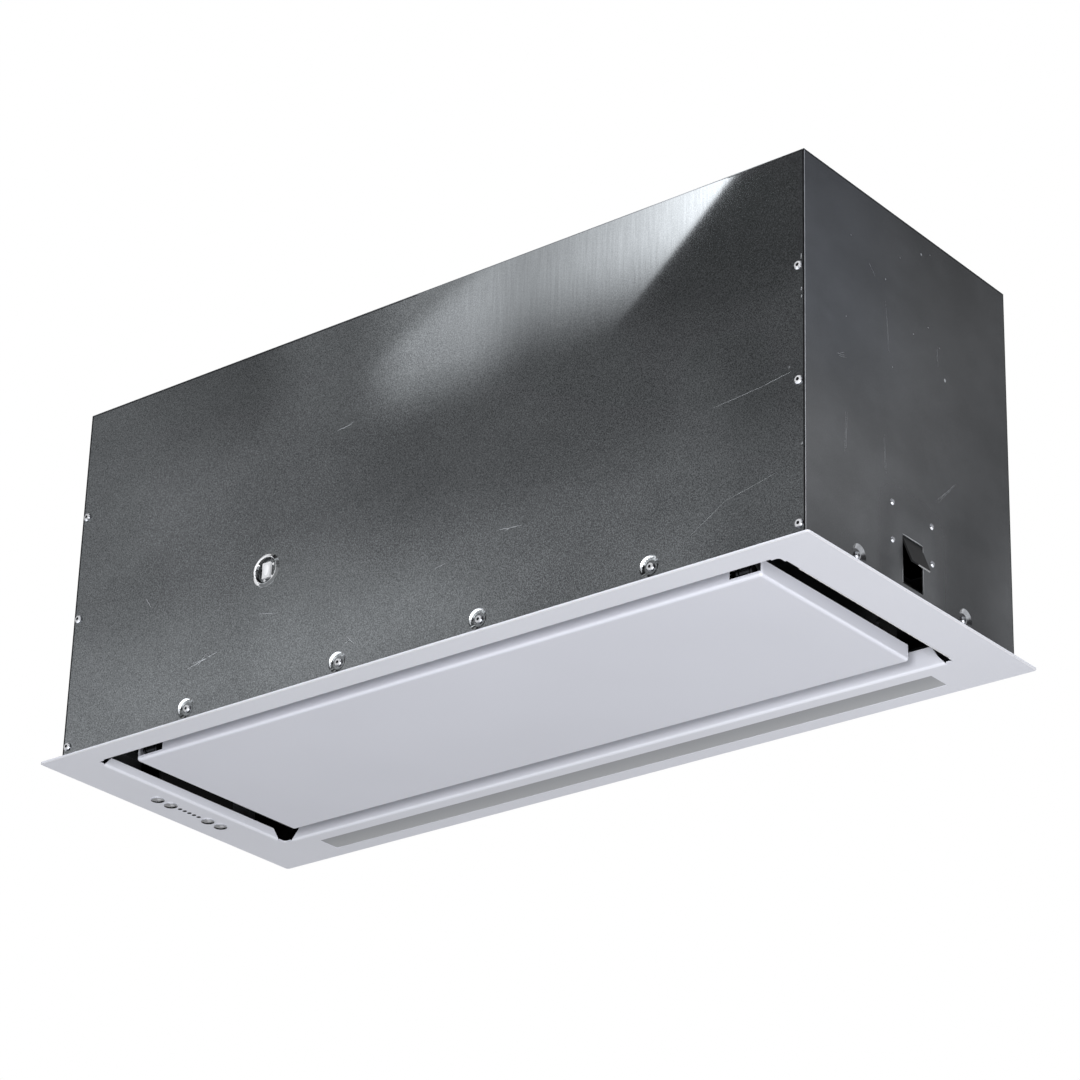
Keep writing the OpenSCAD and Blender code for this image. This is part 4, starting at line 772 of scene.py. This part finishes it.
def expanded(name, x0, x1, y0, y1, z, cell_x, cell_y):
    """Zigzag strands from x0 to x1 and y0 to y1, each tilted as the drawing tilts it."""
    nx, ny = int((x1 - x0) / cell_x), int((y1 - y0) / cell_y)
    cx, cy = (x1 - x0) / nx, (y1 - y0) / ny
    verts, faces = [], []
    for j in range(ny):
        for i in range(nx + 1):
            x = x0 + (i - 0.5 * (j % 2)) * cx
            y = y0 + j * cy
            zig = [(x, y), (x + cx * 0.5, y + cy), (x + cx, y)]
            for a, b in ((zig[0], zig[1]), (zig[1], zig[2])):
                if min(a[0], b[0]) < x0 or max(a[0], b[0]) > x1:
                    continue
                d = Vector((b[0] - a[0], b[1] - a[1])).normalized()
                ox, oy = -d[1] * STRAND / 2, d[0] * STRAND / 2
                k = len(verts)
                tilt = STRAND_T * 0.6 * (1 if a[1] < b[1] else -1)
                for p, dz in ((a, -tilt), (b, tilt)):
                    low, high = z + dz, z + dz + STRAND_T
                    verts += [(p[0] + ox, p[1] + oy, high), (p[0] - ox, p[1] - oy, high),
                              (p[0] - ox, p[1] - oy, low), (p[0] + ox, p[1] + oy, low)]
                for q in range(4):
                    r = (q + 1) % 4
                    faces.append((k + q, k + r, k + 4 + r, k + 4 + q))
    return mesh_piece(name, verts, faces, MESH, "housing", False)


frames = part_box("filter_frames")
frame_w = 0.004
y0, y1 = frames[0].y + frame_w, frames[1].y - frame_w
for side, letter in ((-1, "l"), (1, "r")):
    x0, x1 = sorted((side * 0.010, side * (frames[1].x - frame_w)))
    expanded(f"filter_weave_low_{letter}", x0, x1, y0, y1,
                           frames[1].z - 0.0078, 0.0095, 0.0052)
    expanded(f"filter_weave_top_{letter}", x0 + 0.003, x1 - 0.002, y0, y1,
                           frames[1].z - 0.0022, 0.0115, 0.0060)
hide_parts("filter_meshes")

# Foam seals under the carrier, between the suction side and the slots of the side catches; black
# and nearly matt, partly painted shade that keeps the gap dark
FOAM_SHADE = plastic("foam_seal_shade", lin(12, 12, 13), 0.9, 700, 0.5, 0.8, Specular_IOR_Level=0.2)


FOAM_X, FOAM_HALF, FOAM_T = 0.4025, 0.050, 0.004


def foam(name, x, z0, z1):
    """A strip of closed-cell foam with soft long edges and a slightly wavy foot."""
    bm = bmesh.new()
    bmesh.ops.create_cube(bm, size=1)
    bmesh.ops.scale(bm, vec=(FOAM_T, 2 * FOAM_HALF, z1 - z0), verts=bm.verts)
    bmesh.ops.translate(bm, vec=(x, 0, (z0 + z1) / 2), verts=bm.verts)
    long_edges = [e for e in bm.edges if abs(e.verts[0].co.y - e.verts[1].co.y) > FOAM_HALF]
    bmesh.ops.subdivide_edges(bm, edges=long_edges, cuts=24, use_grid_fill=True)
    for v in bm.verts:
        if v.co.z < z0 + 1e-5:
            v.co.z += 0.0003 * math.sin(v.co.y * 400)
    me = bpy.data.meshes.new(name)
    bm.to_mesh(me)
    bm.free()
    o = bpy.data.objects.new(name, me)
    bpy.context.scene.collection.objects.link(o)
    me.materials.append(FOAM_SHADE)
    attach(o, "housing")
    smooth(o, 0.0008)
    return o


carrier_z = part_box("carrier_ends")[0].z
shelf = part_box("control_housing")[1].z
foam("foam_shade_right", FOAM_X, shelf, carrier_z)
foam("foam_shade_left", -FOAM_X, shelf, carrier_z)

# Light, floor and camera. The world is white to the eye and in the metal, but lights less.

world = bpy.data.worlds.new("studio")
bpy.context.scene.world = world
world.use_nodes = True
wt = world.node_tree
bg = wt.nodes["Background"]
lp = wt.nodes.new("ShaderNodeLightPath")
seen = lp.outputs["Is Camera Ray"]
for ray in ("Is Glossy Ray", "Is Transmission Ray"):
    either = wt.nodes.new("ShaderNodeMath")
    either.operation = "MAXIMUM"
    wt.links.new(seen, either.inputs[0])
    wt.links.new(lp.outputs[ray], either.inputs[1])
    seen = either.outputs[0]
DIFFUSE_STRENGTH = 0.44
strength = wt.nodes.new("ShaderNodeMix")
strength.data_type = "FLOAT"
strength.inputs[2].default_value = DIFFUSE_STRENGTH
strength.inputs[3].default_value = 1.0
wt.links.new(seen, strength.inputs[0])
wt.links.new(strength.outputs[0], bg.inputs["Strength"])
bg.inputs["Color"].default_value = (1, 1, 1, 1)


def area(name, at, to, size, power):
    """A soft rectangular light at a place, turned to a point, in metres and watts."""
    d = bpy.data.lights.new(name, "AREA")
    d.shape = "RECTANGLE"
    d.size, d.size_y = size
    d.energy = power
    o = bpy.data.objects.new(name, d)
    bpy.context.scene.collection.objects.link(o)
    o.location = at
    o.rotation_mode = "QUATERNION"
    o.rotation_quaternion = (Vector(to) - Vector(at)).to_track_quat("-Z", "Y")


area("low_right", (-1.9, 0.9, -1.2), (0.0, 0, 0), (1.0, 1.0), 28)
area("low_front", (0.8, -1.4, -2.6), (0, 0, 0), (1.8, 1.8), 3.5)
area("over", (-0.6, 1.8, 2.4), (0, 0.1, 0.2), (1.6, 1.6), 12)
area("level", (-1.5, 2.6, -0.75), (0, 0, 0.1), (1.0, 0.8), 48)

# Soft boxes and dark walls of the studio, seen only in the metal. Each card stands before one
# face. Its pattern is written in millimetres on that face, as it mirrors the card towards the
# photograph's viewpoint: u runs along X or Y, and v along Z.
EYE = (-1957.5, 2351.6, -1261.3)


class Card(Mat):
    """A flat glowing card with a pattern of light, standing upright."""

    def __init__(self, name, centre, size, turn, eye_u, eye_v, k):
        super().__init__(name)
        self.t.nodes.remove(self.b)
        self.e = self.node("ShaderNodeEmission")
        self.link(self.e.outputs[0], self.t.nodes["Material Output"].inputs["Surface"])
        w, h = size
        u_dir = Vector((math.cos(turn), math.sin(turn), 0))
        a = [Vector(centre) + u_dir * (i * w / 2) + Vector((0, 0, j * h / 2))
             for i, j in ((-1, -1), (1, -1), (1, 1), (-1, 1))]
        me = bpy.data.meshes.new(name)
        me.from_pydata([tuple(v) for v in a], [], [(0, 1, 2, 3)])
        me.materials.append(self.m)
        o = bpy.data.objects.new(name, me)
        bpy.context.scene.collection.objects.link(o)
        o.visible_camera = o.visible_diffuse = o.visible_shadow = False
        c = "X" if abs(u_dir.x) > 0.5 else "Y"
        self.u = self.on_face(c, eye_u, k)
        self.v = self.on_face("Z", eye_v, k)

    def on_face(self, axis, eye, k):
        """A coordinate on the card, drawn in towards the eye's own, on to the face."""
        p = self.mul(self.axis(axis), 1000.0)
        return self.add(self.math("DIVIDE", self.math("SUBTRACT", p, eye), k), eye)

    def side(self, at, normal):
        """Signed distance on the face from a line through a point."""
        return self.add(self.mul(self.math("SUBTRACT", self.u, at[0]), normal[0]),
                        self.mul(self.math("SUBTRACT", self.v, at[1]), normal[1]))

    def glow(self, strength, tint=(1, 1, 1)):
        self.link(strength, self.e.inputs["Strength"])
        self.e.inputs["Color"].default_value = (*tint, 1)


def spread(card, face, eye):
    """How much larger a card is than its mirror image on a face, all on one axis."""
    mirrored = 2 * face - eye
    return (card - mirrored) / (face - mirrored)


back = Card("studio_back_card", (0.24, 0.4, 0.34), (2.2, 1.5), 0.0, EYE[0], EYE[2],
            spread(400, 157, EYE[1]))
left = back.curve(back.u, -80, 300, 0.0, 0.32)
amount = back.math("SUBTRACT", back.curve(back.u, -200, -20, 0.35, 0.70),
                   back.curve(back.u, 100, 260, 0.0, 0.20))
low = back.mul(back.curve(back.v, 190, 30), amount)
right = back.mul(back.curve(back.u, -300, -380, 0.0, 0.20), back.curve(back.v, 260, 120))
dark = back.mul(back.curve(back.v, 170, 290, 0.0, 0.25), back.curve(back.u, -150, -300))
band = back.mul(back.curve(back.v, 240, 340, 0.0, 0.33), back.curve(back.u, 130, 215),
                back.curve(back.u, 400, 250, 0.5, 1.0))
# The bright box: sharp along its slanting edge, and fading by a power away from its corner
edge = back.side((-342, 362), (0.652, 0.758))
fall = back.math("POWER", 2.718, back.mul(back.add(back.u, 325), -1 / 132))
box = back.mul(fall, 7.0, back.curve(back.v, 250, 350), back.curve(edge, -1.5, 2.5),
               back.curve(back.u, 130, -10))
lobe = back.mul(back.curve(back.u, 85, 5), back.curve(back.u, -140, -55),
                back.curve(back.v, 228, 300, 0.0, 0.92))
corner = back.curve(back.side((-66, 362), (0.40, 0.917)), -6, 20, 1.0, 0.46)
base = back.add(low, left, 0.55)
for less in (right, dark, band):
    base = back.math("SUBTRACT", base, less)
lit = back.mul(back.add(lobe, box), corner)
face = back.mul(back.add(base, lit), back.curve(back.v, -14, 4, 0.2, 1.0),
                back.curve(back.v, 402, 386, 0.15, 1.0), back.curve(back.u, -470, -440, 0.3, 1.0))
# Below the face lies what only the dimples and the ring mirror
shine = back.math("SUBTRACT", back.curve(back.v, -90, -150, 0.0, 3.6),
                  back.curve(back.v, -210, -290, 0.0, 1.6))
back.glow(back.add(face, shine), (0.975, 1.0, 1.03))

side = Card("studio_side_card", (-0.65, -0.35, 0.36), (2.0, 1.5), math.pi / 2, EYE[1], EYE[2],
            spread(-650, -425, EYE[0]))
bar = side.mul(side.curve(side.u, -48, -76), side.curve(side.u, -130, -118),
               side.curve(side.v, 150, 95, 0.0, 0.29))
clouds = side.curve(side.noise(6.5, 2.0, 0.5), 0.3, 0.7, 0.93, 1.07)
high = side.mul(side.curve(side.v, 330, 230, 0.0, 0.19), side.curve(side.u, -120, 40))
foot = side.mul(side.curve(side.v, 160, 80, 0.0, 0.24), side.curve(side.u, -60, 90))
near = side.mul(side.curve(side.u, -120, -132, 0.0, 0.52), side.curve(side.v, 180, 60))
body = side.math("SUBTRACT", side.mul(side.add(0.49, high, foot, near), clouds), bar)
body = side.mul(body, side.curve(side.v, -14, 4, 0.25, 1.0), side.curve(side.v, 402, 386, 0.3, 1.0))
shine = side.math("SUBTRACT", side.curve(side.v, -130, -190, 0.0, 3.6),
                  side.curve(side.v, -220, -310, 0.0, 1.8))
side.glow(side.add(body, shine))
cool = side.mul(side.curve(side.u, -20, 110), side.curve(side.v, 120, 220))
side.link(side.mix(cool, (0.985, 1.0, 1.03), (0.94, 0.99, 1.09)), side.e.inputs["Color"])

floor_m = Mat("studio_floor", rough=0.85, color=(0.82, 0.82, 0.82))
bpy.ops.mesh.primitive_plane_add(size=24, location=(0, 0, -3.6))
floor = bpy.context.object
floor.name = "studio_floor"
floor.data.materials.append(floor_m.m)

# The photograph's viewpoint, fitted to seven corners of the hood
cam = bpy.data.cameras.new("camera")
cam.lens = 122.295
cam.sensor_width = 36.0
cam.clip_end = 100
eye = bpy.data.objects.new("camera", cam)
bpy.context.scene.collection.objects.link(eye)
eye.matrix_world = Matrix((
    (-0.7794, -0.247881, -0.575404, -1.9575),
    (-0.625933, 0.348023, 0.697917, 2.35159),
    (0.027253, 0.904121, -0.426406, -1.26134),
    (0, 0, 0, 1),
))
bpy.context.scene.camera = eye
bpy.context.scene.view_settings.view_transform = "Standard"
